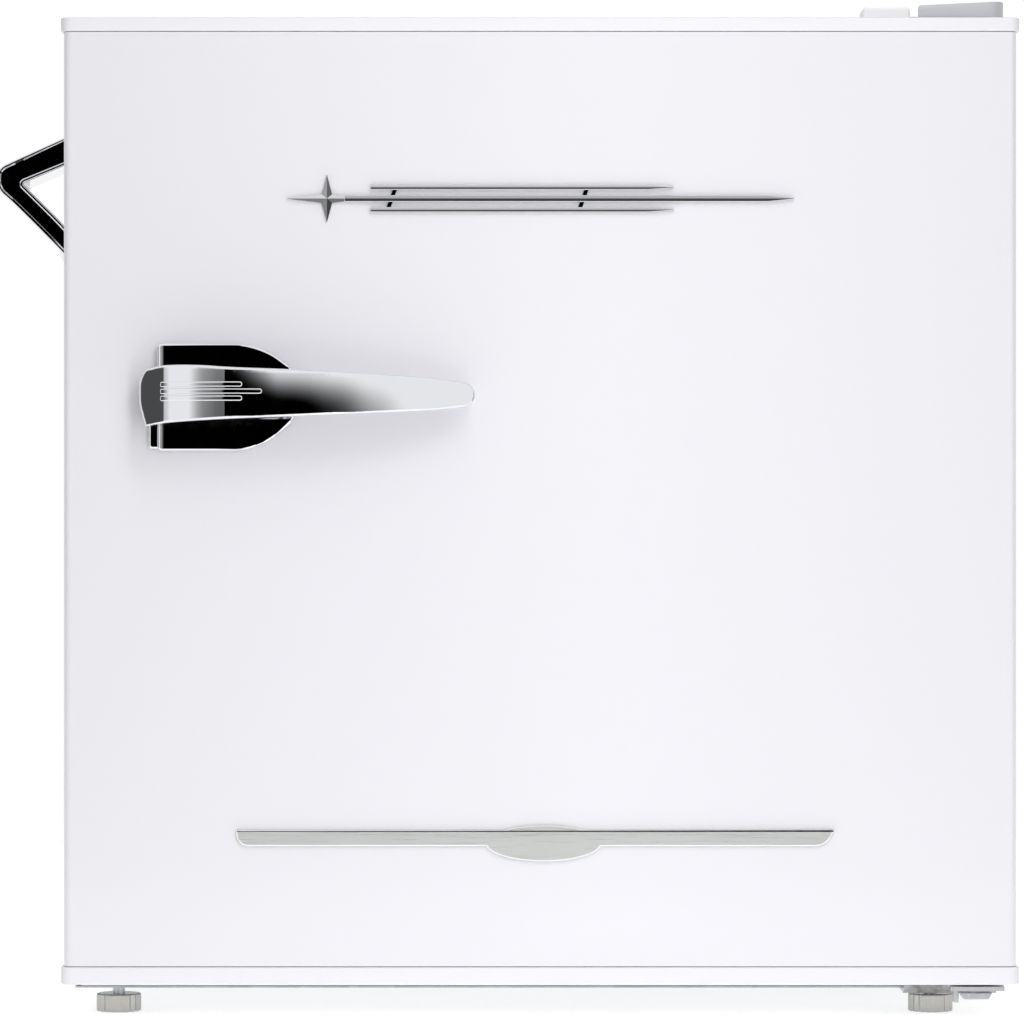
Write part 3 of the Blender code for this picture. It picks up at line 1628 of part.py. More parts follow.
def make_ornaments(door):
    """A star with three speed lines above the handle, and a strip with an oval near the bottom."""
    back = -FIT
    front = back - BADGE_THICKNESS
    start = -BADGE_LENGTH / 2
    z = BADGE_HEIGHT
    star_x = start + 19 * MM
    star = []
    points = 4
    for k in range(points * 2):
        turn = math.pi * k / points
        wide, tall = ((19, 11), (3.2, 2.6))[k % 2]
        star.append(
            (star_x + wide * MM * math.cos(turn), z + tall * MM * math.sin(turn))
        )
    badge = plate("badge_ornament", [star], "Y", front, back, "chrome", door)
    lines = (
        (0, -start, 1.3 * MM),
        (5.2 * MM, 62 * MM, 1.0 * MM),
        (-5.2 * MM, 62 * MM, 1.0 * MM),
    )
    thin = 0.2 * MM
    parts = []
    for rise, end, half in lines:
        begin = star_x + (2 * MM if not rise else 22 * MM)
        bar = [
            (begin, z + rise - half),
            (end - 10 * MM, z + rise - half),
            (end, z + rise - 0.3 * MM),
            (end, z + rise + 0.3 * MM),
            (end - 10 * MM, z + rise + half),
            (begin, z + rise + half),
        ]
        parts.append(plate_mesh([bar], "Y", front + thin, back))
    for x in (star_x + 30 * MM, 20 * MM):
        tie = [
            (x - 3.4 * MM, z - 6.1 * MM),
            (x - 0.9 * MM, z - 6.1 * MM),
            (x + 3.4 * MM, z + 6.1 * MM),
            (x + 0.9 * MM, z + 6.1 * MM),
        ]
        parts.append(plate_mesh([tie], "Y", front + 2 * thin, back - thin))
    combine(badge, "UNION", *parts)

    strip_front = back - STRIP_THICKNESS
    bar = rounded(
        [
            (STRIP_LEFT, STRIP_TOP, 0),
            (STRIP_RIGHT, STRIP_TOP, 0),
            (STRIP_RIGHT - 2 * MM, STRIP_BOTTOM, 5 * MM),
            (STRIP_LEFT + 2 * MM, STRIP_BOTTOM, 5 * MM),
        ]
    )
    strip = plate("trim_strip", [bar], "Y", strip_front, back, "brushed_strip", door)
    oval = circle(
        OVAL_CENTRE.x, OVAL_CENTRE.y, OVAL_HALF.x, 48, OVAL_HALF.y / OVAL_HALF.x
    )
    combine(strip, "UNION", plate_mesh([oval], "Y", strip_front - thin, back - thin))


def main():
    for finish in FINISHES:
        make_finish(finish)
    fridge = bpy.data.objects.new("fridge", None)
    PIECES.objects.link(fridge)
    fridge["place"] = [0.0, 0.0, 0.0]
    make_case(fridge)
    make_back_and_base(fridge)
    make_insulation(fridge)
    make_liner(fridge)
    make_freezer(fridge)
    make_drip_tray(fridge)
    make_shelf(fridge)
    make_thermostat(fridge)
    make_compressor(fridge)
    make_condenser(fridge)
    make_hinges(fridge)
    make_feet(fridge)
    make_opener(fridge)
    door = pivot("door_hinge", (HINGE_X, HINGE_DEPTH, DOOR_BOTTOM), fridge)
    make_door_shell(door)
    make_door_liner(door)
    make_gasket(door)
    make_bins(door)
    make_handle(door)
    make_ornaments(door)
    fridge.location = (
        (CASE_SIDE + OPENER_REACH - DOOR_SIDE) / 2,
        (HANDLE_REACH - OBJECT_BACK) / 2,
        0,
    )


clear_scene()
PIECES = make_collection("mini_fridge")
CUTTERS = make_collection("cutters")
main()
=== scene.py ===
"""The looks of a small retro refrigerator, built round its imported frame."""

import json
import math

import bmesh
import bpy
from mathutils import Matrix, Quaternion, Vector


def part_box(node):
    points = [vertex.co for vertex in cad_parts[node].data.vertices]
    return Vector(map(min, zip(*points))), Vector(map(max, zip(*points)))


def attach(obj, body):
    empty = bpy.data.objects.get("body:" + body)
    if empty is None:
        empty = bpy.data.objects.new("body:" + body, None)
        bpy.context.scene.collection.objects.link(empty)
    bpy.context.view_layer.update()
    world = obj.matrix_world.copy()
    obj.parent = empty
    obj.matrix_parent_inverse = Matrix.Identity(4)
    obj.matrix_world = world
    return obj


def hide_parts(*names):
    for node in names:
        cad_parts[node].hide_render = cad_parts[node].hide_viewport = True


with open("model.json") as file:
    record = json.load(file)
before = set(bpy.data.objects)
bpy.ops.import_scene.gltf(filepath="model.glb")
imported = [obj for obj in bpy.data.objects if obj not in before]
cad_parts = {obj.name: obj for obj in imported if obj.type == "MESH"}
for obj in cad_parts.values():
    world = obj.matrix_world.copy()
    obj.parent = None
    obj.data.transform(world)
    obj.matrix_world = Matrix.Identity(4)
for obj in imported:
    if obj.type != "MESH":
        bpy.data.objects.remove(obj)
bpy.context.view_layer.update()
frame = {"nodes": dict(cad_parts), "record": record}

MM = 0.001
GAP = 0.3 * MM  # air between two pieces that touch

# Every piece is drawn from the middle of the door's front face, on the floor.
skin_low, skin_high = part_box("door_skin")
ORIGIN = Vector(((skin_low.x + skin_high.x) / 2, skin_low.y, 0))


def place_of(node):
    """A node's lowest and highest corners, from the door's middle."""
    low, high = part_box(node)
    return Vector(low) - ORIGIN, Vector(high) - ORIGIN


BODY_OF = {
    node: body
    for body, nodes in frame["record"]["behaviour"]["bodies"].items()
    for node in nodes
}

SKIN_LOW, SKIN_HIGH = place_of("door_skin")
CASE_LOW, CASE_HIGH = place_of("outer_case")
LINER_LOW, LINER_HIGH = place_of("inner_liner")


# ---- camera and light

CAMERA_PLACE = Vector((-13 * MM, -2350 * MM, 239.3 * MM))
VIEW_WIDTH = 474.6 * MM  # what the camera sees across the door's face
SENSOR = 36.0


def make_camera():
    data = bpy.data.cameras.new("camera")
    data.sensor_width = SENSOR
    data.lens = SENSOR * -CAMERA_PLACE.y / VIEW_WIDTH
    camera = bpy.data.objects.new("camera", data)
    camera.location = CAMERA_PLACE + ORIGIN
    camera.rotation_euler = (math.radians(90), 0, 0)
    bpy.context.scene.collection.objects.link(camera)
    bpy.context.scene.camera = camera


def make_area_light(name, place, target, size, power):
    data = bpy.data.lights.new(name, "AREA")
    data.shape = "RECTANGLE"
    data.size, data.size_y = size
    data.energy = power
    light = bpy.data.objects.new(name, data)
    light.location = Vector(place) + ORIGIN
    light.rotation_euler = (
        (Vector(target) - Vector(place)).to_track_quat("-Z", "Y").to_euler()
    )
    light.visible_glossy = False
    light.visible_camera = False
    bpy.context.scene.collection.objects.link(light)


def make_studio():
    """A white studio with a dark flag in front and on either side, for the chrome."""
    front_flag = (9, 27)  # degrees from straight ahead: black, then fading to white
    side_flags = (26, 12)  # degrees from either side: white, then fading to dark
    diffuse_share = 0.64  # how much of the room's light reaches matt surfaces
    scene = bpy.context.scene
    scene.view_settings.view_transform = "Standard"
    world = bpy.data.worlds.new("studio")
    scene.world = world
    world.use_nodes = True
    tree = world.node_tree
    tree.nodes.clear()
    direction = add(
        tree, "SeparateXYZ", {0: add(tree, "TexCoord").outputs["Generated"]}
    )
    front = add(
        tree,
        "MapRange",
        {
            "Value": direction.outputs["Y"],
            "From Min": -math.cos(math.radians(front_flag[0])),
            "From Max": -math.cos(math.radians(front_flag[1])),
        },
        interpolation_type="SMOOTHSTEP",
    )
    sideways = add(
        tree, "Math", {0: direction.outputs["X"]}, operation="ABSOLUTE"
    )
    sides = add(
        tree,
        "MapRange",
        {
            "Value": sideways.outputs[0],
            "From Min": math.cos(math.radians(side_flags[0])),
            "From Max": math.cos(math.radians(side_flags[1])),
            "To Min": 1.0,
            "To Max": 0.08,
        },
    )
    seen = add(
        tree, "Math", {0: front.outputs[0], 1: sides.outputs[0]}, operation="MULTIPLY"
    )
    dimmed = add(
        tree,
        "MapRange",
        {
            "Value": add(tree, "LightPath").outputs["Is Diffuse Ray"],
            "To Min": 1.0,
            "To Max": diffuse_share,
        },
    )
    strength = add(
        tree,
        "Math",
        {0: seen.outputs[0], 1: dimmed.outputs[0]},
        operation="MULTIPLY",
    )
    room = add(
        tree, "Background", {"Color": linear("FFFFFF"), "Strength": strength.outputs[0]}
    )
    backdrop = add(tree, "Background", {"Color": linear("FFFFFF"), "Strength": 1.0})
    mixed = add(
        tree,
        "MixShader",
        {
            0: add(tree, "LightPath").outputs["Is Camera Ray"],
            1: room.outputs[0],
            2: backdrop.outputs[0],
        },
    )
    add(tree, "OutputWorld", {"Surface": mixed.outputs[0]})
    make_area_light("key", (0.75, -1.5, 1.35), (0.0, 0.0, 0.25), (0.5, 0.5), 4.5)
    make_area_light("strip", (0.04, -0.6, 0.7), (0.04, 0.0, 0.7), (0.08, 1.4), 2.55)


def make_floor():
    bm = bmesh.new()
    bmesh.ops.create_circle(bm, cap_ends=True, segments=96, radius=1.1)
    mesh = bpy.data.meshes.new("floor")
    bm.to_mesh(mesh)
    bm.free()
    floor = bpy.data.objects.new("floor", mesh)
    bpy.context.scene.collection.objects.link(floor)
    material, _, _ = new_finish(
        "studio_floor",
        "C8C8C8",
        Roughness=0.9,
        Emission_Color=linear("FFFFFF"),
        Emission_Strength=0.7,
    )
    mesh.materials.append(material)


# ---- materials


def linear(code):
    """A colour's linear values from its sRGB hex code."""
    parts = [int(code[i : i + 2], 16) / 255 for i in (0, 2, 4)]
    return (
        *[c / 12.92 if c <= 0.04045 else ((c + 0.055) / 1.055) ** 2.4 for c in parts],
        1.0,
    )


def add(tree, kind, inputs=None, **settings):
    """Adds a node with its settings. inputs gives its sockets a value or a link."""
    made = tree.nodes.new("ShaderNode" + kind)
    for name, value in settings.items():
        setattr(made, name, value)
    for key, value in (inputs or {}).items():
        if isinstance(value, bpy.types.NodeSocket):
            tree.links.new(value, made.inputs[key])
        else:
            made.inputs[key].default_value = value
    return made


def per_metre(millimetres):
    """A texture's scale for a pattern of this size."""
    return 1 / (millimetres * MM)


def new_finish(name, colour, **sockets):
    """A material with one surface shader. Sockets are named with _ for a space."""
    material = bpy.data.materials.new(name)
    material.use_nodes = True
    tree = material.node_tree
    surface = tree.nodes["Principled BSDF"]
    surface.inputs["Base Color"].default_value = linear(colour)
    for key, value in sockets.items():
        surface.inputs[key.replace("_", " ")].default_value = value
    return material, tree, surface


def grain(tree, surface, size, depth, detail, stretch):
    """Bumps the surface: size is the grain's width and depth its height, in mm."""
    place = add(tree, "TexCoord").outputs["Object"]
    mapped = add(tree, "Mapping", {"Vector": place, "Scale": stretch})
    noise = add(
        tree,
        "TexNoise",
        {"Vector": mapped.outputs[0], "Scale": per_metre(size), "Detail": detail},
    )
    bump = add(
        tree,
        "Bump",
        {"Height": noise.outputs[0], "Distance": depth * MM, "Strength": 1.0},
    )
    tree.links.new(bump.outputs[0], surface.inputs["Normal"])
    return noise.outputs[0]


def vary_roughness(tree, surface, factor, low, high):
    spread = add(
        tree,
        "MapRange",
        {
            "Value": factor,
            "From Min": 0.3,
            "From Max": 0.7,
            "To Min": low,
            "To Max": high,
        },
    )
    tree.links.new(spread.outputs[0], surface.inputs["Roughness"])


def vary_colour(tree, surface, factor, first, second):
    mixed = add(
        tree,
        "Mix",
        {"Factor": factor, "A": linear(first), "B": linear(second)},
        data_type="RGBA",
    )
    tree.links.new(mixed.outputs["Result"], surface.inputs["Base Color"])


def patterned(
    name,
    colour,
    size,
    depth,
    roughness=None,
    tints=None,
    detail=2.0,
    stretch=(1, 1, 1),
    **sockets,
):
    """A finish whose grain also varies its roughness and its tint."""
    material, tree, surface = new_finish(name, colour, **sockets)
    noise = grain(tree, surface, size, depth, detail, stretch)
    if roughness:
        vary_roughness(tree, surface, noise, *roughness)
    if tints:
        vary_colour(tree, surface, noise, *tints)
    return material


def moulded_abs(name, colour, roughness, size=0.9):
    """Injection-moulded plastic: an even colour under a fine spark-eroded grain."""
    spread = (roughness - 0.05, roughness + 0.05)
    return patterned(name, colour, size, 0.008, spread, IOR=1.53)


def black_enamel(name, colour, roughness, size):
    """Baked black enamel: a soft gloss with small runs and dust in it."""
    return patterned(name, colour, size, 0.03, (roughness - 0.08, roughness + 0.12))


def galvanised_sheet():
    """Hot-dip galvanised sheet: flat crystals about 6 mm across, each its own grey."""
    material, tree, surface = new_finish(
        "galvanised_sheet", "B9BCBE", Metallic=1.0
    )
    place = add(tree, "TexCoord").outputs["Object"]
    warp = add(tree, "TexNoise", {"Vector": place, "Scale": per_metre(12)})
    shifted = add(
        tree,
        "Mix",
        {"Factor": 0.004, "A": place, "B": warp.outputs["Color"]},
        data_type="VECTOR",
    )
    crystal = add(
        tree,
        "TexVoronoi",
        {"Vector": shifted.outputs["Result"], "Scale": per_metre(6)},
    )
    shade = add(tree, "SeparateColor", {0: crystal.outputs["Color"]}).outputs[0]
    vary_colour(tree, surface, shade, "AEB1B4", "C4C7C9")
    vary_roughness(tree, surface, shade, 0.38, 0.48)
    return material


def roll_bond_aluminium():
    """Two aluminium sheets rolled together, with channels blown up between them."""
    material, tree, surface = new_finish(
        "roll_bond_aluminium", "DCDEE0", Metallic=1.0
    )
    place = add(tree, "TexCoord").outputs["Object"]
    waves = per_metre(24) / 20  # a wave texture repeats 20 times in each unit of scale
    channels = add(
        tree,
        "TexWave",
        {"Vector": place, "Scale": waves, "Distortion": 0.6, "Detail": 1.0},
        bands_direction="Y",
    )
    raised = add(
        tree,
        "MapRange",
        {"Value": channels.outputs["Fac"], "From Min": 0.55, "From Max": 0.9},
        interpolation_type="SMOOTHSTEP",
    )
    bump = add(
        tree,
        "Bump",
        {"Height": raised.outputs[0], "Distance": 1.2 * MM, "Strength": 0.7},
    )
    tree.links.new(bump.outputs[0], surface.inputs["Normal"])
    vary_roughness(tree, surface, raised.outputs[0], 0.34, 0.46)
    return material


# Polyester-painted sheet steel: an even gloss over faint orange peel 3 mm across.
ENAMEL = patterned(
    "prepainted_steel",
    "E3E2E7",
    3.0,
    0.006,
    (0.3, 0.38),
    Coat_Weight=0.35,
    Coat_Roughness=0.08,
)
WHITE_ABS = moulded_abs("moulded_white_abs", "E6E6EA", 0.42)
# Painted light: the same moulded white ABS, whitened past the caps' own white so that
# the hinge screw cap looks as brightly lit as it does.
PAINTED_LIT_ABS = moulded_abs("moulded_white_abs_painted_lit", "FAFAFB", 0.4)
GREY_ABS = moulded_abs("moulded_grey_abs", "C4C6C9", 0.36)
# Vacuum-formed polystyrene: soft gloss, with slow waves 40 mm long where it stretched.
HIPS = patterned(
    "thermoformed_hips",
    "F1F3F4",
    40.0,
    0.05,
    (0.3, 0.38),
    detail=1.0,
    IOR=1.59,
    Subsurface_Weight=0.05,
)
# Bright chrome over cast zinc: a mirror with hardly any texture.
CHROME = patterned(
    "chrome_plated_zinc", "E4E5E8", 9.0, 0.004, (0.035, 0.07), detail=1.0, Metallic=1.0
)
# Satin chrome on moulded ABS: a metal shine, softened by a fine matt grain.
SATIN = patterned(
    "satin_chromed_abs", "B0AFAB", 0.8, 0.001, (0.13, 0.19), Metallic=1.0
)
# Anodised aluminium strip, brushed along its length: lines 30 mm long, and 0.3 mm wide,
# coarser than real ones so that they show.
BRUSHED = patterned(
    "brushed_anodised_aluminium",
    "ECEEEC",
    0.3,
    0.004,
    (0.26, 0.4),
    stretch=(0.01, 1, 1),
    Metallic=1.0,
)
# Bright zinc plate over pressed steel: soft grey shine, clouded in patches 4 mm across.
ZINC = patterned(
    "zinc_plated_steel",
    "C9CBCD",
    4.0,
    0.01,
    (0.26, 0.46),
    ("B4B6B8", "DADBDC"),
    Metallic=1.0,
)
GALVANISED = galvanised_sheet()
# Extruded flexible PVC with a magnet strip inside: matte, with fine drag lines.
PVC = patterned(
    "extruded_pvc_gasket", "E9EAEB", 0.8, 0.02, (0.55, 0.7), Subsurface_Weight=0.08
)
# Injection-moulded clear polystyrene: a faint blue tint and flow waves 25 mm long.
CLEAR = patterned(
    "clear_polystyrene",
    "F6FAFC",
    25.0,
    0.05,
    detail=1.0,
    Roughness=0.06,
    Transmission_Weight=0.92,
    IOR=1.59,
)
# Toughened float glass with the green tint that shows at its edges.
GLASS = patterned(
    "toughened_float_glass",
    "E6F5EF",
    60.0,
    0.02,
    detail=1.0,
    Roughness=0.02,
    Transmission_Weight=1.0,
    IOR=1.52,
)
ROLL_BOND = roll_bond_aluminium()
WIRE_ENAMEL = black_enamel("dipped_black_enamel", "161617", 0.42, 2.0)
SHELL_ENAMEL = black_enamel("stoved_black_enamel", "121213", 0.34, 6.0)
# Drawn copper tube, dulled in patches 6 mm across by handling and brazing.
COPPER = patterned(
    "drawn_copper_tube",
    "C98A66",
    6.0,
    0.005,
    (0.22, 0.48),
    ("D79A78", "9C6247"),
    Metallic=1.0,
)
# Compression-moulded black rubber: matte, with a bloom of grey in patches.
RUBBER = patterned(
    "moulded_rubber", "1B1B1C", 1.5, 0.03, None, ("151516", "2B2B2C"), Roughness=0.8
)
BLACK_PP = moulded_abs("moulded_black_polypropylene", "1D1D1F", 0.5, 1.2)
# Poured polyurethane foam: straw-coloured, with open cells about 1 mm across.
FOAM = patterned(
    "poured_polyurethane",
    "E3CF94",
    1.0,
    0.2,
    None,
    ("D8C282", "EBDCA8"),
    Roughness=0.95,
)


# ---- shaping


def in_metres(*rows):
    """Rows of millimetres as rows of metres."""
    return [tuple(value * MM for value in row) for row in rows]


def point(axis, along, a, b):
    """A point this far along an axis, and at (a, b) across it in X, Y, Z order."""
    return Vector({"X": (along, a, b), "Y": (a, along, b), "Z": (a, b, along)}[axis])


def bevel(bm, geom, radius, segments, **settings):
    """Rounds edges, or corners with affect set to VERTICES."""
    settings.setdefault("affect", "EDGES")
    bmesh.ops.bevel(
        bm,
        geom=geom,
        offset=radius,
        offset_type="OFFSET",
        segments=segments,
        profile=0.5,
        material=-1,
        **settings,
    )


def soften(bm, radius, segments=3, angle=40):
    """Rounds every edge that turns more sharply than angle."""
    edges = [
        edge
        for edge in bm.edges
        if len(edge.link_faces) == 2
        and edge.calc_face_angle(0) > math.radians(angle)
    ]
    bevel(bm, edges, radius, segments, clamp_overlap=True)


def move(bm, by):
    bmesh.ops.translate(bm, vec=by, verts=bm.verts)


def face_out(bm):
    bmesh.ops.recalc_face_normals(bm, faces=bm.faces)


def front_of(bm):
    """The face that stands furthest forward."""
    return min(bm.faces, key=lambda face: face.calc_center_median().y)


def pull(bm, faces, by):
    """Extrudes faces, and returns the faces that moved."""
    made = bmesh.ops.extrude_face_region(bm, geom=faces)["geom"]
    verts = [part for part in made if isinstance(part, bmesh.types.BMVert)]
    bmesh.ops.translate(bm, vec=by, verts=verts)
    return [part for part in made if isinstance(part, bmesh.types.BMFace)]


def flat(axis, along, corners, segments=8):
    """One flat face across an axis. Each corner is (a, b, radius)."""
    bm = bmesh.new()
    verts = [bm.verts.new(point(axis, along, a, b)) for a, b, _ in corners]
    bm.faces.new(verts)
    for radius in sorted({radius for *_, radius in corners if radius}):
        chosen = [v for v, (*_, r) in zip(verts, corners) if r == radius]
        bevel(bm, chosen, radius, segments, affect="VERTICES")
    return bm


def slab(axis, low, high, corners, edge=0.5 * MM, segments=8):
    """A plate across an axis from low to high, with rounded edges."""
    bm = flat(axis, low, corners, segments)
    pull(bm, bm.faces[:], point(axis, high - low, 0, 0))
    face_out(bm)
    if edge:
        soften(bm, edge)
    return bm


def rectangle(low_a, low_b, high_a, high_b, radius=0.0, far_radius=None):
    """Four corners. The two at high_b may have a radius of their own."""
    far = radius if far_radius is None else far_radius
    return [
        (low_a, low_b, radius),
        (high_a, low_b, radius),
        (high_a, high_b, far),
        (low_a, high_b, far),
    ]


def lip_outline(half, root, tip_half, tip, radius):
    """Four corners of a lip that narrows to its tip."""
    return [
        (-half, root, 0),
        (-tip_half, tip, radius),
        (tip_half, tip, radius),
        (half, root, 0),
    ]


def ring(axis, low, high, outer, hole, edge=0.5 * MM):
    """A plate with one hole. Both outlines have equally many corners, in one order."""
    bm = flat(axis, low, outer)
    inner = flat(axis, low, hole)
    absorb(bm, inner)
    for face in bm.faces[:]:
        bm.faces.remove(face)
    bmesh.ops.bridge_loops(bm, edges=bm.edges[:])
    pull(bm, bm.faces[:], point(axis, high - low, 0, 0))
    face_out(bm)
    if edge:
        soften(bm, edge, 2)
    return bm


def absorb(bm, other):
    """Adds another mesh to this one."""
    mesh = bpy.data.meshes.new("part")
    other.to_mesh(mesh)
    other.free()
    bm.from_mesh(mesh)
    bpy.data.meshes.remove(mesh)


def block(low, high, radius=0.6 * MM, segments=3):
    """A rounded block between two corners."""
    low, high = Vector(low), Vector(high)
    bm = bmesh.new()
    bmesh.ops.create_cube(bm, size=1)
    bmesh.ops.scale(bm, vec=high - low, verts=bm.verts)
    move(bm, (low + high) / 2)
    soften(bm, radius, segments)
    return bm


AXIS_TURNS = {
    "X": Matrix.Rotation(math.radians(90), 4, "Y"),
    "Y": Matrix.Rotation(math.radians(-90), 4, "X"),
    "Z": Matrix.Identity(4),
}


def turned(profile, axis="Z", centre=(0, 0, 0), steps=40):
    """A solid of revolution. Its profile is (radius, height along the axis)."""
    bm = bmesh.new()
    verts = [bm.verts.new((radius, 0, height)) for radius, height in profile]
    edges = [bm.edges.new(pair) for pair in zip(verts, verts[1:])]
    bmesh.ops.spin(
        bm,
        geom=verts + edges,
        cent=(0, 0, 0),
        axis=(0, 0, 1),
        angle=math.tau,
        steps=steps,
        use_merge=True,
    )
    bmesh.ops.remove_doubles(bm, verts=bm.verts, dist=0.001 * MM)
    face_out(bm)
    bmesh.ops.transform(bm, matrix=AXIS_TURNS[axis], verts=bm.verts)
    move(bm, centre)
    return bm


def cut_across(bm, axis, places):
    """Adds edges where planes across an axis pass through the mesh."""
    for place in places:
        bmesh.ops.bisect_plane(
            bm,
            geom=bm.verts[:] + bm.edges[:] + bm.faces[:],
            plane_co=point(axis, place, 0, 0),
            plane_no=point(axis, 1, 0, 0),
        )


def steps_between(low, high, pitch):
    count = max(1, round((high - low) / pitch))
    return [low + (high - low) * k / count for k in range(count + 1)]


def along_line(knots, x):
    """The height at x on a smooth line through (x, height) knots."""
    if x <= knots[0][0]:
        return knots[0][1]
    for i in range(len(knots) - 1):
        (x0, y0), (x1, y1) = knots[i], knots[i + 1]
        if x <= x1:
            before = knots[i - 1] if i else (2 * x0 - x1, 2 * y0 - y1)
            after = knots[i + 2] if i + 2 < len(knots) else (2 * x1 - x0, 2 * y1 - y0)
            t = (x - x0) / (x1 - x0)
            slope0 = (y1 - before[1]) / (x1 - before[0]) * (x1 - x0)
            slope1 = (after[1] - y0) / (after[0] - x0) * (x1 - x0)
            return (
                (2 * t**3 - 3 * t**2 + 1) * y0
                + (t**3 - 2 * t**2 + t) * slope0
                + (3 * t**2 - 2 * t**3) * y1
                + (t**3 - t**2) * slope1
            )
    return knots[-1][1]


def make_piece(name, bm, finish, node, smooth=35, stands=True):
    """Finishes a mesh as a piece that stands for a node, or only rides with it."""
    bmesh.ops.remove_doubles(bm, verts=bm.verts, dist=0.001 * MM)
    face_out(bm)
    move(bm, ORIGIN)
    mesh = bpy.data.meshes.new(name)
    bm.to_mesh(mesh)
    bm.free()
    mesh.shade_smooth()
    mesh.set_sharp_from_angle(angle=math.radians(smooth))
    mesh.materials.append(finish)
    obj = bpy.data.objects.new(name, mesh)
    bpy.context.scene.collection.objects.link(obj)
    even = obj.modifiers.new("flat_faces", "WEIGHTED_NORMAL")
    even.keep_sharp = True
    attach(obj, BODY_OF[node])
    if stands:
        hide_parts(node)
    return obj


def sheet_from(bm, removed, wall, inwards=True):
    """Takes away the faces that removed picks, and gives what is left a wall."""
    face_out(bm)
    bmesh.ops.delete(
        bm, geom=[face for face in bm.faces if removed(face)], context="FACES"
    )
    bmesh.ops.solidify(
        bm, geom=bm.faces[:], thickness=wall if inwards else -wall
    )
    return bm


def basin(low, high, corner, wall, rim=0.0):
    """An open tray with rounded corners, and a rim that turns inwards."""
    outline = rectangle(low.x, low.y, high.x, high.y, corner)
    tray = slab("Z", low.z, high.z, outline, 0)
    floor_edges = [
        edge
        for edge in tray.edges
        if all(abs(vert.co.z - low.z) < 0.01 * MM for vert in edge.verts)
    ]
    bevel(tray, floor_edges, min(corner * 0.6, 5 * MM), 4)
    sheet_from(
        tray,
        lambda face: face.normal.z > 0.9 and face.calc_center_median().z > high.z - MM,
        wall,
    )
    if rim:
        inner = rectangle(
            low.x + rim, low.y + rim, high.x - rim, high.y - rim, corner - rim * 0.6
        )
        absorb(tray, ring("Z", high.z - wall, high.z, outline, inner, 0.5 * MM))
    return tray


def route_of(corners, steps=6):
    """Points along a line with rounded corners. Each corner is (x, y, z, radius)."""
    points = [Vector(corners[0][:3])]
    for before, here, after in zip(corners, corners[1:], corners[2:]):
        middle = Vector(here[:3])
        arrive = (Vector(before[:3]) - middle).normalized() * here[3]
        leave = (Vector(after[:3]) - middle).normalized() * here[3]
        for k in range(steps + 1):
            t = k / steps
            points.append(
                middle + arrive * (1 - t) ** 2 + leave * t**2
            )
    points.append(Vector(corners[-1][:3]))
    return points


def to_and_fro(rows, first, last):
    """The ends (along, row) of a line that runs back and forth, row by row."""
    ends = []
    for i, row in enumerate(rows):
        pair = (last, first) if i % 2 else (first, last)
        ends += [(along, row) for along in pair]
    return ends


def pipe_mesh(bm, points, radius, sides=12):
    """Sweeps a circle along points and adds it to bm."""
    loops = []
    heading, turn = Vector((0, 0, 1)), Quaternion()
    for i, place in enumerate(points):
        ahead = points[min(i + 1, len(points) - 1)] - points[max(i - 1, 0)]
        turn = heading.rotation_difference(ahead) @ turn
        heading = ahead
        spot = Matrix.Translation(place) @ turn.to_matrix().to_4x4()
        made = bmesh.ops.create_circle(bm, segments=sides, radius=radius, matrix=spot)
        loops.append(list({edge for vert in made["verts"] for edge in vert.link_edges}))
    for first, second in zip(loops, loops[1:]):
        bmesh.ops.bridge_loops(bm, edges=first + second)
    for loop in (loops[0], loops[-1]):
        bmesh.ops.contextual_create(bm, geom=loop)


def pipes(routes, radius, sides=12):
    bm = bmesh.new()
    for points in routes:
        pipe_mesh(bm, points, radius, sides)
    return bm


# ---- door

DOOR_TOP = 466.5 * MM
SHEET_STEEL = 0.8 * MM


def make_door_shell():
    side, back = SKIN_HIGH.x, SKIN_HIGH.y
    lip = 8 * MM
    skin = flat(
        "Z",
        SKIN_LOW.z,
        [
            (-side, 0, 4.2 * MM),
            (side, 0, 4.2 * MM),
            (side, back, 1.5 * MM),
            (side - lip, back, 0),
            (lip - side, back, 0),
            (-side, back, 1.5 * MM),
        ],
        10,
    )
    pull(skin, skin.faces[:], (0, 0, SKIN_HIGH.z - SKIN_LOW.z))

    def is_open(face):
        behind = face.normal.y > 0.9 and abs(face.calc_center_median().x) < side / 2
        return abs(face.normal.z) > 0.9 or behind

    sheet_from(skin, is_open, SHEET_STEEL)
    make_piece("door_panel", skin, ENAMEL, "door_skin")
    for name, node, edge in (
        ("door_top_cap", "door_cap_top", 0.6 * MM),
        ("door_bottom_cap", "door_cap_bottom", 0.8 * MM),
    ):
        low, high = place_of(node)
        cap = slab(
            "Z",
            low.z,
            high.z,
            rectangle(low.x, low.y, high.x, high.y, 5.6 * MM, 2 * MM),
            edge,
            10,
        )
        make_piece(name, cap, WHITE_ABS, node)


# Where the lever's front stands: its end facet, its rounded root, and its blade.
GRIP_FACET = in_metres(
    (-184.9, -17.7), (-173, -30.5),
)
GRIP_ROOT = in_metres(
    (-173, -30.5), (-168, -33.5), (-163, -35.25), (-158, -36.25), (-151, -37.15),
    (-144, -37.9),
)
BLADE_FRONT = in_metres(
    (-144, -37.9), (-125, -37.8), (-115, -37.5), (-105, -36.9), (-95, -35.9),
    (-85, -34.6), (-75, -32.9), (-65, -30.9), (-55, -28.5), (-45, -25.9),
    (-30, -21.6),
)
GRIP_UPPER = in_metres(
    (-181.5, 302.8), (-173, 304.4), (-155, 304.4), (-143.8, 303.6), (-112, 302.4),
    (-65, 299.8), (-48, 298.6), (-36, 296.9),
)
GRIP_LOWER = in_metres(
    (-181.5, 276.4), (-172, 277.9), (-143.8, 279.7), (-112, 280.9), (-65, 282.9),
    (-48, 283.9), (-36, 285.2),
)
BLADE_THICKNESS = in_metres(
    (-125, 11), (-85, 10), (-60, 8.5), (-30, 5),
)
GRIP_FACET_END = -173 * MM
GRIP_CREASE = -144 * MM
GRIP_BOTTOM = 281 * MM
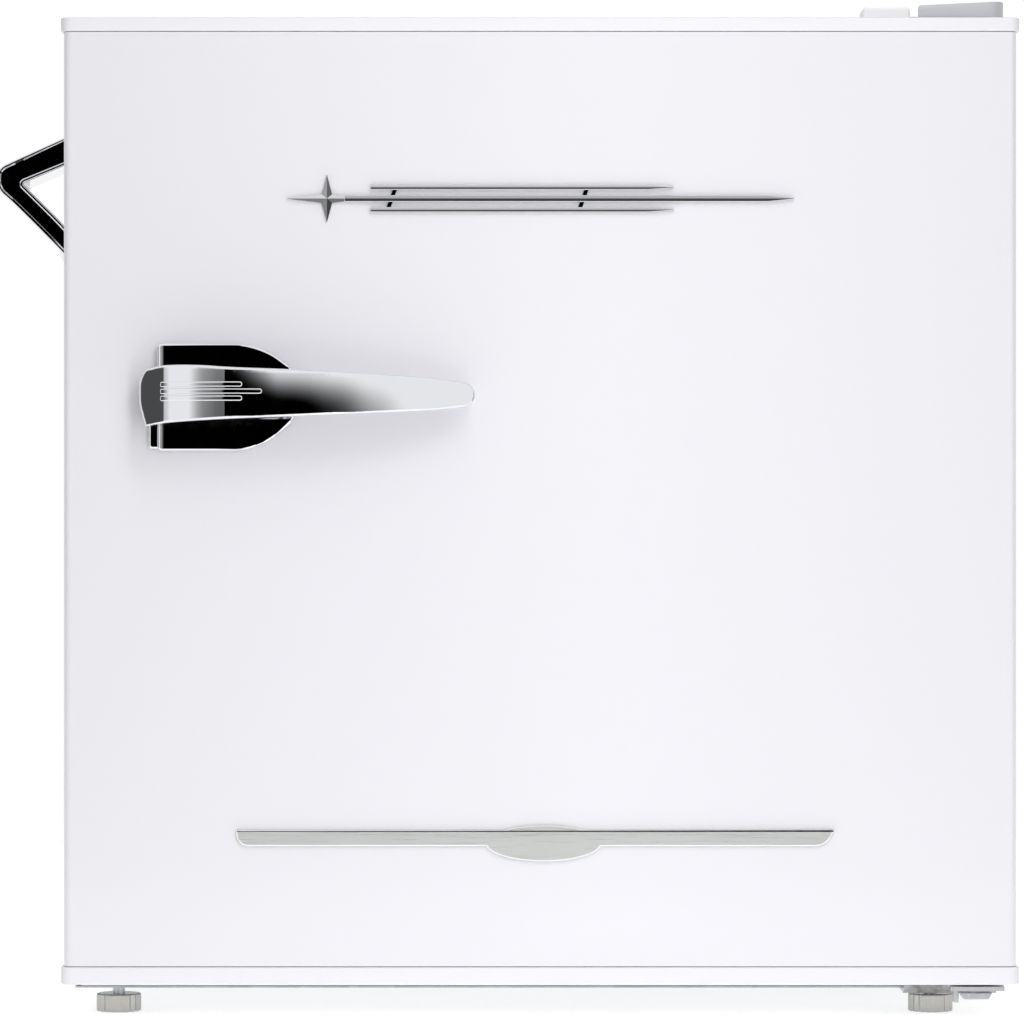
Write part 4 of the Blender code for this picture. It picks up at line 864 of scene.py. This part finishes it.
ESCUTCHEON_FRONT = -6.6 * MM


def grip_front(x, z):
    """Where the lever's front is. The blade also leans back towards its upper edge."""
    if x < GRIP_FACET_END:
        line = GRIP_FACET
    elif x < GRIP_CREASE:
        line = GRIP_ROOT
    else:
        line = BLADE_FRONT
    blade = min(1.0, max(0.0, (x - GRIP_CREASE) / (25 * MM)))
    rise = max(0.0, (z - GRIP_BOTTOM) / (21 * MM))
    return along_line(line, x) + (0.5 + 1.7 * blade) * MM * rise**2


def make_grip():
    """The chrome lever: an end facet, a round root, a crease, and a long blade."""
    tip = -36 * MM
    columns = steps_between(-181.5 * MM, tip, 5 * MM)
    tip_high, tip_low = along_line(GRIP_UPPER, tip), along_line(GRIP_LOWER, tip)
    bow = [math.radians(90 - 15 * k) for k in range(1, 12)]
    corners = [
        (-184.6 * MM, 286.5 * MM, 3 * MM),
        (-184.6 * MM, 298.4 * MM, 3 * MM),
        *[(x, along_line(GRIP_UPPER, x), 0) for x in columns],
        *[
            (
                tip + 6.1 * MM * math.cos(turn),
                (tip_high + tip_low) / 2 + (tip_high - tip_low) / 2 * math.sin(turn),
                0,
            )
            for turn in bow
        ],
        *[(x, along_line(GRIP_LOWER, x), 0) for x in reversed(columns)],
    ]
    bm = slab("Y", 0, 1, corners, 0, 5)
    front = front_of(bm)
    blank = 11 * MM  # the depth it has before it is bent to shape
    bmesh.ops.scale(bm, vec=(1, blank, 1), verts=bm.verts)
    bevel(bm, front.edges[:], 1.2 * MM, 4)
    cut_across(bm, "X", steps_between(-184 * MM, -30.5 * MM, 2 * MM))
    cut_across(bm, "X", (GRIP_FACET_END, GRIP_CREASE))
    cut_across(bm, "Z", steps_between(277.5 * MM, 304 * MM, 1.8 * MM))
    root, fade, kept = -118 * MM, 12 * MM, 1.3 * MM
    for vert in bm.verts:
        x, y, z = vert.co
        face = grip_front(x, z)
        back = face + along_line(BLADE_THICKNESS, x)
        if x < root:
            reach = min(1.0, (root - x) / fade)
            back += (ESCUTCHEON_FRONT - back) * reach**1.5
        if y < kept:
            vert.co.y = face + y
        else:
            share = (y - kept) / (blank - kept)
            vert.co.y = face + kept + share * (back - face - kept)
    make_piece("handle_grip", bm, CHROME, "handle_lever", 28)
    half, begin, depth = 1.2, -174, 1.6 * MM
    for name, z, end in (
        ("upper", 295.6, -136),
        ("middle", 292.4, -127),
        ("lower", 289.2, -136),
    ):
        corners = in_metres(
            (begin, z - half, 0),
            (end, z - half, 1.15),
            (end, z + half, 1.15),
            (begin, z + half, 0),
        )
        rib = slab("Y", 0, depth, corners, 0.5 * MM, 5)
        cut_across(rib, "X", steps_between(-173.5 * MM, end * MM - 2 * MM, 1.5 * MM))
        for vert in rib.verts:
            vert.co.y += grip_front(vert.co.x, vert.co.z) - depth / 2
        make_piece(f"handle_rib_{name}", rib, CHROME, "handle_lever", 40, stands=False)


def make_escutcheon():
    """The chrome plate under the lever, with a bevelled rim."""
    low, high = place_of("handle_plate")
    shoulder = high.x - 17.5 * MM
    plate = slab(
        "Y",
        low.y,
        high.y,
        [
            (low.x, low.z, 2.2 * MM),
            (shoulder, low.z, 11 * MM),
            (high.x, low.z + 15.5 * MM, 5 * MM),
            (high.x, high.z - 13 * MM, 5 * MM),
            (shoulder, high.z, 11 * MM),
            (low.x, high.z, 2.2 * MM),
        ],
        0,
        8,
    )
    front = front_of(plate)
    bevel(plate, front.edges[:], 1.3 * MM, 3)
    shoulder_line = low.x + 3.9 * MM
    cut_across(plate, "X", [shoulder_line])
    for vert in plate.verts:
        if vert.co.x < shoulder_line and vert.co.y < high.y - 2 * MM:
            vert.co.y += 0.13 * (shoulder_line - vert.co.x)
    make_piece("handle_escutcheon", plate, CHROME, "handle_plate", 30)
    spill = slab(
        "Y",
        -4.6 * MM,
        -GAP,
        [
            (low.x - 4.2 * MM, low.z + 1 * MM, 2 * MM),
            (low.x + 4 * MM, low.z + 1 * MM, 0),
            (low.x + 4 * MM, 286 * MM, 0),
            (low.x - 4.2 * MM, 286 * MM, 2 * MM),
        ],
        1.2 * MM,
    )
    make_piece("handle_root", spill, CHROME, "handle_plate", stands=False)


def make_badge():
    """A faceted four-pointed star that leads three speed lines."""
    low, high = place_of("badge_ornament")
    centre = Vector((low.x + 19 * MM, 0, (low.z + high.z) / 2))
    bm = bmesh.new()
    back = -GAP
    rim = []
    for k in range(8):
        turn = math.tau * k / 8
        wide, tall = ((19, 11), (3.4, 2.8))[k % 2]
        across, up = wide * MM * math.cos(turn), tall * MM * math.sin(turn)
        rim.append(bm.verts.new((centre.x + across, back, centre.z + up)))
    face = bm.faces.new(rim)
    pull(bm, [face], (0, -1.5 * MM, 0))
    face_out(bm)
    front = front_of(bm)
    peak = bmesh.ops.poke(bm, faces=[front])["verts"]
    bmesh.ops.translate(bm, vec=(0, -0.4 * MM, 0), verts=peak)
    make_piece("star_badge", bm, CHROME, "badge_ornament", 10)
    lines = (
        ("middle", 0.0, centre.x + 8 * MM, high.x, 1.5),
        ("upper", 5.2 * MM, centre.x + 20 * MM, 62 * MM, 1.15),
        ("lower", -5.2 * MM, centre.x + 20 * MM, 62 * MM, 1.15),
    )
    for name, rise, begin, end, half in lines:
        z = centre.z + rise
        bar = slab(
            "Y",
            -2.3 * MM,
            back,
            [
                (begin, z - half * MM, 0.6 * MM),
                (end - 12 * MM, z - half * MM, 0),
                (end, z - 0.35 * MM, 0.3 * MM),
                (end, z + 0.35 * MM, 0.3 * MM),
                (end - 12 * MM, z + half * MM, 0),
                (begin, z + half * MM, 0.6 * MM),
            ],
            0.25 * MM,
            4,
        )
        cut_across(bar, "Z", [z])
        for vert in bar.verts:
            if abs(vert.co.z - z) < 0.01 * MM and vert.co.y < -1.5 * MM:
                vert.co.y -= 0.12 * half * MM
        make_piece(f"speed_line_{name}", bar, CHROME, "badge_ornament", 5, stands=False)
    for name, x in (("left", centre.x + 30 * MM), ("right", 20 * MM)):
        corners = [
            (x + slant * MM, centre.z + rise * MM, 0.4 * MM)
            for slant, rise in ((-3.4, -6.1), (-0.9, -6.1), (3.4, 6.1), (0.9, 6.1))
        ]
        tie = slab("Y", -1.9 * MM, back, corners, 0.4 * MM, 3)
        make_piece(f"speed_tie_{name}", tie, CHROME, "badge_ornament", 40, stands=False)


def make_lower_trim():
    """The satin strip, which swells into a plain oval in the middle."""
    left, right = -141 * MM, 136.6 * MM
    low, high = 82.3 * MM, 89.9 * MM
    middle = Vector((1.6 * MM, 83.7 * MM))
    half = Vector((26.9 * MM, 8.5 * MM))

    def oval(first, last):
        turns = [math.radians(first + (last - first) * k / 20) for k in range(21)]
        return [
            (middle.x + half.x * math.cos(t), middle.y + half.y * math.sin(t), 0)
            for t in turns
        ]

    outline = [
        (left, high, 0.5 * MM),
        (left + 0.8 * MM, low, 5 * MM),
        *oval(189.5, 350.5),
        (right - 4.5 * MM, low, 4 * MM),
        (right, high, 0.5 * MM),
        *oval(46.8, 133.2),
    ]
    strip = slab("Y", -2.1 * MM, -GAP, outline, 0, 6)
    front = front_of(strip)
    bevel(strip, front.edges[:], 0.8 * MM, 3)
    make_piece("lower_trim", strip, BRUSHED, "trim_strip", 30)


# ---- outside of the cabinet


def make_wrap():
    side = CASE_HIGH.x
    wrap = flat(
        "Y",
        CASE_LOW.y,
        rectangle(-side, CASE_LOW.z, side, CASE_HIGH.z, 0, 4 * MM),
        8,
    )
    pull(wrap, wrap.faces[:], (0, CASE_HIGH.y - CASE_LOW.y, 0))
    sheet_from(
        wrap,
        lambda face: abs(face.normal.y) > 0.9 or face.normal.z < -0.9,
        SHEET_STEEL,
    )
    make_piece("cabinet_wrap", wrap, ENAMEL, "outer_case")


def make_hinge_caps():
    low, high = place_of("hinge_cover")
    over_door, over_case = DOOR_TOP + 0.8 * MM, CASE_HIGH.z + GAP
    cap = slab(
        "X",
        low.x,
        high.x,
        [
            (low.y, over_door, 0),
            (CASE_LOW.y - GAP, over_door, 0),
            (CASE_LOW.y - GAP, over_case, 0),
            (high.y, over_case, 0),
            (high.y, high.z, 1.6 * MM),
            (low.y, high.z, 2.2 * MM),
        ],
        1.2 * MM,
        5,
    )
    # The front corner is round in plan, the inner end cut back, and the top rises.
    corner, cut_back, fall = 11 * MM, 9 * MM, 2 * MM
    turns = [math.radians(15 * step) for step in range(1, 6)]
    cut_across(cap, "X", [high.x - corner + corner * math.sin(turn) for turn in turns])
    for vert in cap.verts:
        out = (vert.co.x - low.x) / (high.x - low.x)
        back = (vert.co.y - low.y) / (high.y - low.y)
        past = min(max(vert.co.x - high.x + corner, 0), corner)
        sag = corner - math.sqrt(corner**2 - past**2)
        if vert.co.y < low.y + corner:
            vert.co.y = max(vert.co.y, low.y + sag)
        vert.co.x += cut_back * back * (1 - out)
        if vert.co.z > over_case + 1 * MM:
            vert.co.z -= fall * (1 - out)
    make_piece("hinge_cap", cap, GREY_ABS, "hinge_cover")
    low, high = place_of("hinge_screw_cover")
    cap = block(low, high, 1.5 * MM, 4)
    make_piece("hinge_screw_cap", cap, PAINTED_LIT_ABS, "hinge_screw_cover")


def make_foot_pads():
    for side in ("left", "right"):
        low, high = place_of(side + "_foot")
        centre = (low + high) / 2
        radius = (high.x - low.x) / 2
        pad = bmesh.new()
        bmesh.ops.create_circle(pad, cap_ends=True, segments=144, radius=radius)
        flutes, flute_depth = 18, 0.035
        for vert in pad.verts:
            turn = math.atan2(vert.co.y, vert.co.x) * flutes
            vert.co *= 1 - flute_depth * (1 - math.cos(turn))
        move(pad, (centre.x, centre.y, low.z))
        pull(pad, pad.faces[:], (0, 0, high.z - low.z))
        face_out(pad)
        soften(pad, 0.7 * MM, 3, 60)
        make_piece(side + "_foot_pad", pad, SATIN, side + "_foot", 50)


def make_opener():
    """A chrome casting on the side: a plate, a hood, and the lip that lifts a cap."""
    low, high = place_of("bottle_opener")
    wall_x = high.x
    middle = (low + high) / 2
    outline = rectangle(low.y, low.z, high.y, high.z, 9 * MM)
    plate = slab("X", wall_x - 3.2 * MM, wall_x, outline, 1 * MM)
    make_piece("opener_plate", plate, CHROME, "bottle_opener")
    half = (high.z - low.z) / 2
    outline = [
        (2.7, 33.3, 0),
        (31, 20.6, 5),
        (39.7, 16.4, 4),
        (39.7, 6.4, 4),
        (33.5, 1.2, 4),
        (15, -17, 14),
        (2.7, -30, 0),
        (2.7, -16, 0),
        (10.4, -7.6, 3),
        (27.4, 9.2, 1.2),
        (2.7, 19.5, 0),
    ]
    corners = [
        (wall_x - out * MM, middle.z + rise * MM, radius * MM)
        for out, rise, radius in outline
    ]
    hood = slab("Y", middle.y - 20 * MM, middle.y + 20 * MM, corners, 2.4 * MM, 6)
    for face in sorted(hood.faces, key=lambda face: -face.calc_area()):
        if abs(face.normal.y) > 0.99 and len(face.verts) > 20:
            bmesh.ops.inset_region(hood, faces=[face], thickness=0.7 * MM)
            bmesh.ops.inset_region(
                hood, faces=[face], thickness=0.6 * MM, depth=-0.7 * MM
            )
    make_piece("opener_hood", hood, CHROME, "bottle_opener", 40, stands=False)
    lip = bmesh.new()
    bmesh.ops.create_uvsphere(lip, u_segments=36, v_segments=20, radius=1)
    bmesh.ops.scale(lip, vec=(11.5 * MM, 22 * MM, 12 * MM), verts=lip.verts)
    bmesh.ops.bisect_plane(
        lip,
        geom=lip.verts[:] + lip.edges[:] + lip.faces[:],
        plane_co=(-1.5 * MM, 0, 0),
        plane_no=(1, 0, 0),
        clear_outer=True,
    )
    bmesh.ops.holes_fill(lip, edges=lip.edges[:], sides=0)
    move(lip, (wall_x, middle.y, low.z + 13 * MM))
    make_piece("opener_lip", lip, CHROME, "bottle_opener", stands=False)


def make_bracket_stop():
    """The stop and the bent tab that hang under the lower hinge bracket."""
    stop = slab(
        "Y",
        14 * MM,
        26 * MM,
        in_metres((195.9, 13, 0), (197.6, 9.9, 0.5), (209.4, 9.9, 0.5), (211, 13, 0)),
        0.3 * MM,
    )
    tab = block(*in_metres((193.2, 17, 8.1), (195.6, 25, 13.8)), 0.4 * MM)
    absorb(stop, tab)
    make_piece("hinge_bracket_stop", stop, ZINC, "lower_hinge_bracket", stands=False)


# ---- inside

CAVITY_SIDE = 186 * MM
CAVITY_FLOOR, CAVITY_TOP = 52 * MM, 434 * MM
CAVITY_BACK = 405 * MM
HUMP_FRONT, HUMP_TOP = 269 * MM, 190.5 * MM
LEDGE_FRONT = 112 * MM


def make_liner():
    """The vacuum-formed inside: a step at the back, a flange, and six ledges."""
    front = LINER_LOW.y
    liner = slab(
        "X",
        -CAVITY_SIDE,
        CAVITY_SIDE,
        [
            (front, CAVITY_FLOOR, 0),
            (HUMP_FRONT, CAVITY_FLOOR, 0),
            (HUMP_FRONT, HUMP_TOP, 0),
            (CAVITY_BACK, HUMP_TOP, 0),
            (CAVITY_BACK, CAVITY_TOP, 0),
            (front, CAVITY_TOP, 0),
        ],
        0,
    )
    inner = [e for e in liner.edges if any(v.co.y > front + MM for v in e.verts)]
    bevel(liner, inner, 9 * MM, 6)
    mouth = [f for f in liner.faces if f.calc_center_median().y < front + 0.01 * MM]
    bmesh.ops.delete(liner, geom=mouth, context="FACES")
    rim = [edge for edge in liner.edges if edge.is_boundary]
    made = bmesh.ops.extrude_edge_only(liner, edges=rim)["geom"]
    middle = (CAVITY_FLOOR + CAVITY_TOP) / 2
    flange_middle = (LINER_LOW.z + LINER_HIGH.z) / 2
    for vert in (part for part in made if isinstance(part, bmesh.types.BMVert)):
        across = vert.co.x / CAVITY_SIDE
        up = (vert.co.z - middle) / (CAVITY_TOP - middle)
        reach = max(abs(across), abs(up))
        vert.co.x = across / reach * LINER_HIGH.x
        vert.co.z = flange_middle + up / reach * (LINER_HIGH.z - flange_middle)
    face_out(liner)
    bottom = min(
        (face for face in liner.faces if abs(face.normal.z) > 0.9),
        key=lambda face: face.calc_center_median().z,
    )
    if bottom.normal.z > 0:
        bmesh.ops.reverse_faces(liner, faces=liner.faces)
    bmesh.ops.solidify(liner, geom=liner.faces[:], thickness=-1.2 * MM)
    reach_in, root, thick = 13 * MM, 1 * MM, 6.3 * MM
    for side in (-1, 1):
        near, far = sorted(
            (side * (CAVITY_SIDE - reach_in), side * (CAVITY_SIDE + root))
        )
        for top, end in (
            (196 * MM, CAVITY_BACK),
            (131 * MM, HUMP_FRONT),
            (296 * MM, CAVITY_BACK),
        ):
            ledge = block(
                (near, LEDGE_FRONT, top - thick),
                (far, end + root / 2, top - GAP),
                2.2 * MM,
                4,
            )
            absorb(liner, ledge)
    make_piece("cavity_liner", liner, HIPS, "inner_liner", 50)


def make_freezer():
    """The roll-bond box with its raised channels, and the flap in front of it."""
    low, high = place_of("evaporator_box")
    shell = slab(
        "Y", low.y, high.y, rectangle(low.x, low.z, high.x, high.z, 9 * MM), 0, 6
    )
    sheet_from(
        shell,
        lambda face: face.normal.y < -0.9 and face.calc_center_median().y < low.y + MM,
        1.6 * MM,
    )
    make_piece("evaporator_shell", shell, ROLL_BOND, "evaporator_box", 40)
    wall, half = 1.6 * MM, high.x - 26 * MM
    rows = steps_between(low.y + 22 * MM, high.y - 22 * MM, 26 * MM)
    turns = to_and_fro(rows, -half, half)
    runs = [[(x, y, low.z + wall, 11 * MM) for x, y in turns]]
    rows = steps_between(low.z + 24 * MM, high.z - 24 * MM, 21 * MM)
    turns = to_and_fro(rows, low.y + 20 * MM, high.y - 20 * MM)
    for x in (wall - high.x, high.x - wall):
        runs.append([(x, y, z, 9 * MM) for y, z in turns])
    channels = pipes([route_of(run) for run in runs], 2.6 * MM, 10)
    make_piece(
        "evaporator_channels", channels, ROLL_BOND, "evaporator_box", 60, stands=False
    )

    half, back, front = 174.5 * MM, 185.2 * MM, 179.2 * MM
    low_edge, top_edge = 318.7 * MM, 431 * MM
    outline = rectangle(-half, low_edge, half, top_edge, 5 * MM)
    window = rectangle(
        9 * MM - half, low_edge + 9 * MM, half - 9 * MM, top_edge - 9 * MM, 4 * MM
    )
    panel = slab("Y", front + 1.9 * MM, back, outline, 1 * MM, 6)
    absorb(panel, ring("Y", front, front + 2.4 * MM, outline, window, 0.9 * MM))
    grip = slab(
        "Z",
        320.7 * MM,
        323.8 * MM,
        lip_outline(31 * MM, front + MM, 27 * MM, front - 6 * MM, 3 * MM),
        0.8 * MM,
    )
    absorb(panel, grip)
    for side in (-1, 1):
        pin = turned(
            in_metres((0, 0), (2, 0), (2, 7), (1.6, 7.5), (0, 7.5)),
            "X",
            (side * (half - 4 * MM), 182 * MM, 428 * MM),
            20,
        )
        if side < 0:
            bmesh.ops.scale(
                pin,
                vec=(-1, 1, 1),
                verts=pin.verts,
                space=Matrix.Translation((half - 4 * MM, 0, 0)),
            )
        absorb(panel, pin)
    for x in steps_between(-150 * MM, 150 * MM, 20 * MM):
        rib = block(
            (x - 1.1 * MM, front + 0.9 * MM, low_edge + 20 * MM),
            (x + 1.1 * MM, front + 2.4 * MM, top_edge - 16 * MM),
            0.5 * MM,
            2,
        )
        absorb(panel, rib)
    make_piece("freezer_door", panel, CLEAR, "freezer_flap", 40)


def make_trays():
    """The drip tray and the two door bins: thin moulded basins with turned-in rims."""
    low, high = place_of("drip_tray")
    low.y += 6 * MM
    tray = basin(low, high, 9 * MM, 2 * MM, 4 * MM)
    lip = slab(
        "Z",
        high.z - 3 * MM,
        high.z - 0.5 * MM,
        lip_outline(52 * MM, low.y + MM, 48 * MM, low.y - 5.6 * MM, 4 * MM),
        0.8 * MM,
    )
    absorb(tray, lip)
    make_piece("drip_basin", tray, CLEAR, "drip_tray", 40)
    for node in ("upper_door_bin", "lower_door_bin"):
        low, high = place_of(node)
        tray = basin(low, high, 10 * MM, 2 * MM, 4 * MM)
        for rise in (0.35, 0.6):
            z = low.z + (high.z - low.z) * rise
            rib = block(
                (-120 * MM, high.y - 0.6 * MM, z - 1 * MM),
                (120 * MM, high.y + 0.6 * MM, z + 1 * MM),
                0.5 * MM,
                2,
            )
            absorb(tray, rib)
        make_piece(node + "_shown", tray, CLEAR, node, 40)


def make_shelf_trims():
    """Two white channels that grip the glass, with a rounded nose."""
    glass_low, glass_high = place_of("shelf_glass")
    for node, inwards in (("shelf_front_trim", 1), ("shelf_rear_trim", -1)):
        low, high = place_of(node)
        nose, reach = (low.y, high.y)[::inwards]
        stop = nose + inwards * 3.7 * MM
        channel = slab(
            "X",
            low.x,
            high.x,
            [
                (nose, low.z, 1.8 * MM),
                (reach, low.z, 0.3 * MM),
                (reach, glass_low.z - GAP, 0.3 * MM),
                (stop, glass_low.z - GAP, 0),
                (stop, glass_high.z + GAP, 0),
                (reach, glass_high.z + GAP, 0.3 * MM),
                (reach, high.z, 0.3 * MM),
                (nose, high.z, 1.8 * MM),
            ],
            0.4 * MM,
            6,
        )
        make_piece(node + "_shown", channel, WHITE_ABS, node)


def make_gasket():
    low, high = place_of("door_gasket")
    width = 14 * MM
    outer = rectangle(low.x, low.z, high.x, high.z, 5 * MM)
    hole = rectangle(
        low.x + width, low.z + width, high.x - width, high.z - width, 3 * MM
    )
    seal = ring("Y", low.y, high.y, outer, hole, 2.2 * MM)
    make_piece("magnetic_gasket", seal, PVC, "door_gasket", 50)


def make_thermostat():
    """The control box on the right wall, its knob, and a dial from 0 to 7."""
    low, high = place_of("thermostat_housing")
    housing = block(low, high, 6 * MM, 6)
    make_piece("thermostat_box", housing, WHITE_ABS, "thermostat_housing", 50)
    knob_low, knob_high = place_of("thermostat_knob")
    axis = (knob_low + knob_high) / 2
    radius = (knob_high.z - knob_low.z) / 2
    depth = low.x - knob_low.x
    knob = turned(
        [
            (0, -GAP),
            (radius, -GAP),
            (radius, -2.5 * MM),
            (radius - 1.2 * MM, -3.7 * MM),
            (radius - 1.6 * MM, -0.55 * depth),
            (radius - 3.2 * MM, -0.66 * depth),
            (0, -0.7 * depth),
        ],
        "X",
        (low.x, axis.y, axis.z),
        72,
    )
    grip = slab(
        "X",
        low.x - depth,
        low.x - 0.4 * depth,
        [
            (axis.y - 3.6 * MM, axis.z - radius + 2.2 * MM, 2.5 * MM),
            (axis.y + 3.6 * MM, axis.z - radius + 2.2 * MM, 2.5 * MM),
            (axis.y + 2.4 * MM, axis.z + radius - 1.6 * MM, 2.2 * MM),
            (axis.y - 2.4 * MM, axis.z + radius - 1.6 * MM, 2.2 * MM),
        ],
        1.2 * MM,
    )
    absorb(knob, grip)
    make_piece("thermostat_dial", knob, WHITE_ABS, "thermostat_knob", 40)
    pointer = block(
        (low.x - depth - 0.15 * MM, axis.y - 0.7 * MM, axis.z + 4 * MM),
        (low.x - depth + 0.6 * MM, axis.y + 0.7 * MM, axis.z + radius - 3.4 * MM),
        0.2 * MM,
        2,
    )
    make_piece(
        "thermostat_pointer",
        pointer,
        BLACK_PP,
        "thermostat_knob",
        stands=False,
    )
    marks = bmesh.new()
    facing = Matrix(((0, 0, -1), (-1, 0, 0), (0, 1, 0))).to_4x4()
    numbers, sweep, text_size = 8, 300, 5.2 * MM
    for k in range(numbers):
        turn = math.radians(sweep / (numbers - 1) * k)
        out = Vector((0, -math.sin(turn), math.cos(turn)))
        words = bpy.data.curves.new("dial_number", "FONT")
        words.body = str(k)
        words.size = text_size
        words.extrude = 0.12 * MM
        words.align_x = words.align_y = "CENTER"
        number = bpy.data.objects.new("dial_number", words)
        bpy.context.scene.collection.objects.link(number)
        graph = bpy.context.evaluated_depsgraph_get()
        mesh = bpy.data.meshes.new_from_object(number.evaluated_get(graph))
        bpy.data.objects.remove(number)
        mesh.transform(facing)
        spot = Vector((low.x - 0.1 * MM, axis.y, axis.z)) + out * (radius + text_size)
        mesh.transform(Matrix.Translation(spot))
        marks.from_mesh(mesh)
        bpy.data.meshes.remove(mesh)
    make_piece(
        "dial_numbers",
        marks,
        BLACK_PP,
        "thermostat_housing",
        stands=False,
    )


# ---- back


def make_condenser():
    """The enamelled wire-and-tube condenser."""
    low, high = place_of("condenser_tube")
    radius, rows, pitch, bend = 2.5 * MM, 8, 36 * MM, 17.9 * MM
    left, right = low.x + radius, high.x - radius
    turns = to_and_fro([low.z + radius + k * pitch for k in range(rows)], left, right)
    corners = [(x, (low.y + high.y) / 2, z, bend) for x, z in turns]
    tube = pipes([route_of(corners, 10)], radius, 14)
    make_piece("condenser_coil", tube, WIRE_ENAMEL, "condenser_tube", 60)
    wires = []
    for x in steps_between(left + 18 * MM, right - 18 * MM, 7 * MM):
        ends = [Vector((x, 0, low.z - 8 * MM)), Vector((x, 0, high.z + 8 * MM))]
        wires.append([end + Vector((0, high.y + 0.6 * MM, 0)) for end in ends])
        if abs(abs(x) - 150 * MM) > 8 * MM:
            wires.append([end + Vector((0, low.y - 0.6 * MM, 0)) for end in ends])
    make_piece(
        "condenser_wires",
        pipes(wires, 0.75 * MM, 8),
        WIRE_ENAMEL,
        "condenser_tube",
        60,
        stands=False,
    )


def make_compressor():
    low, high = place_of("compressor")
    middle = (low + high) / 2
    radius = (high.x - low.x) / 2
    shell = [
        (0, low.z),
        (0.62 * radius, low.z),
        (0.78 * radius, low.z + 2 * MM),
        (0.9 * radius, low.z + 7 * MM),
        (0.945 * radius, low.z + 15 * MM),
        (0.955 * radius, middle.z - 4.5 * MM),
        (radius, middle.z - 3.5 * MM),
        (radius, middle.z + 2.5 * MM),
        (0.965 * radius, middle.z + 4 * MM),
        (0.955 * radius, high.z - 26 * MM),
        (0.935 * radius, high.z - 17 * MM),
        (0.86 * radius, high.z - 9.5 * MM),
        (0.7 * radius, high.z - 4.4 * MM),
        (0.45 * radius, high.z - 1.3 * MM),
        (0, high.z),
    ]
    can = turned(shell, "Z", (middle.x, middle.y, 0), 96)
    make_piece("compressor_can", can, SHELL_ENAMEL, "compressor", 35)


def make_rear_screws():
    low, high = place_of("rear_panel")
    head = in_metres(
        (0, -0.2), (3.6, -0.2), (3.5, 0.8), (2.6, 1.7), (1.2, 2.1), (1.1, 1.2),
        (0, 1.2),
    )
    bm = bmesh.new()
    heights = steps_between(low.z + 10 * MM, high.z - 12 * MM, 90 * MM)
    places = [(s * (high.x - 8 * MM), z) for s in (-1, 1) for z in heights]
    places += [(x, high.z - 8 * MM) for x in (-130 * MM, 0, 130 * MM)]
    for x, z in places:
        absorb(bm, turned(head, "Y", (x, high.y, z), 24))
    make_piece(
        "rear_screws", bm, ZINC, "rear_panel", 40, stands=False
    )


# ---- carried-over nodes


def refine(finish, *nodes, edge=0.4 * MM, smooth=35):
    """Stands a smooth copy with rounded edges in for each CAD node."""
    for name in nodes:
        bm = bmesh.new()
        bm.from_mesh(frame["nodes"][name].data)
        move(bm, -ORIGIN)
        bmesh.ops.remove_doubles(bm, verts=bm.verts, dist=0.005 * MM)
        bmesh.ops.dissolve_limit(
            bm, angle_limit=math.radians(0.5), verts=bm.verts, edges=bm.edges
        )
        made = make_piece(name + "_shown", bm, finish, name, smooth)
        if edge:
            soft = made.modifiers.new("soft_edges", "BEVEL")
            soft.width = edge
            soft.segments = 2
            soft.limit_method = "ANGLE"
            soft.angle_limit = math.radians(50)


refine(GALVANISED, "rear_panel", "base_plate", "compressor_tray")
refine(FOAM, "insulation_foam", "door_foam", edge=0)
refine(HIPS, "door_liner", edge=0.8 * MM, smooth=50)
refine(WHITE_ABS, "freezer_frame", edge=1.2 * MM)
refine(GLASS, "shelf_glass")
refine(WIRE_ENAMEL, "compressor_mount", "condenser_strap_left", "condenser_strap_right")
refine(BLACK_PP, "relay_cover", "evaporating_dish", edge=1 * MM)
refine(BLACK_PP, "lower_hinge_bush", "upper_hinge_bush")
refine(RUBBER, "grommet_left_front", "grommet_left_rear", "grommet_right_front")
refine(RUBBER, "grommet_right_rear", "left_rear_foot", "right_rear_foot")
refine(COPPER, "filter_drier", "discharge_pipe", "suction_pipe", edge=0, smooth=60)
refine(ZINC, "lower_hinge_bracket", "lower_hinge_pin", "upper_hinge_plate")
refine(ZINC, "upper_hinge_pin", "left_foot_stud", "right_foot_stud")
refine(CHROME, "opener_screw_front", "opener_screw_rear", edge=0.2 * MM)

make_camera()
make_studio()
make_floor()
make_door_shell()
make_grip()
make_escutcheon()
make_badge()
make_lower_trim()
make_wrap()
make_hinge_caps()
make_foot_pads()
make_opener()
make_bracket_stop()
make_liner()
make_freezer()
make_trays()
make_shelf_trims()
make_gasket()
make_thermostat()
make_condenser()
make_compressor()
make_rear_screws()
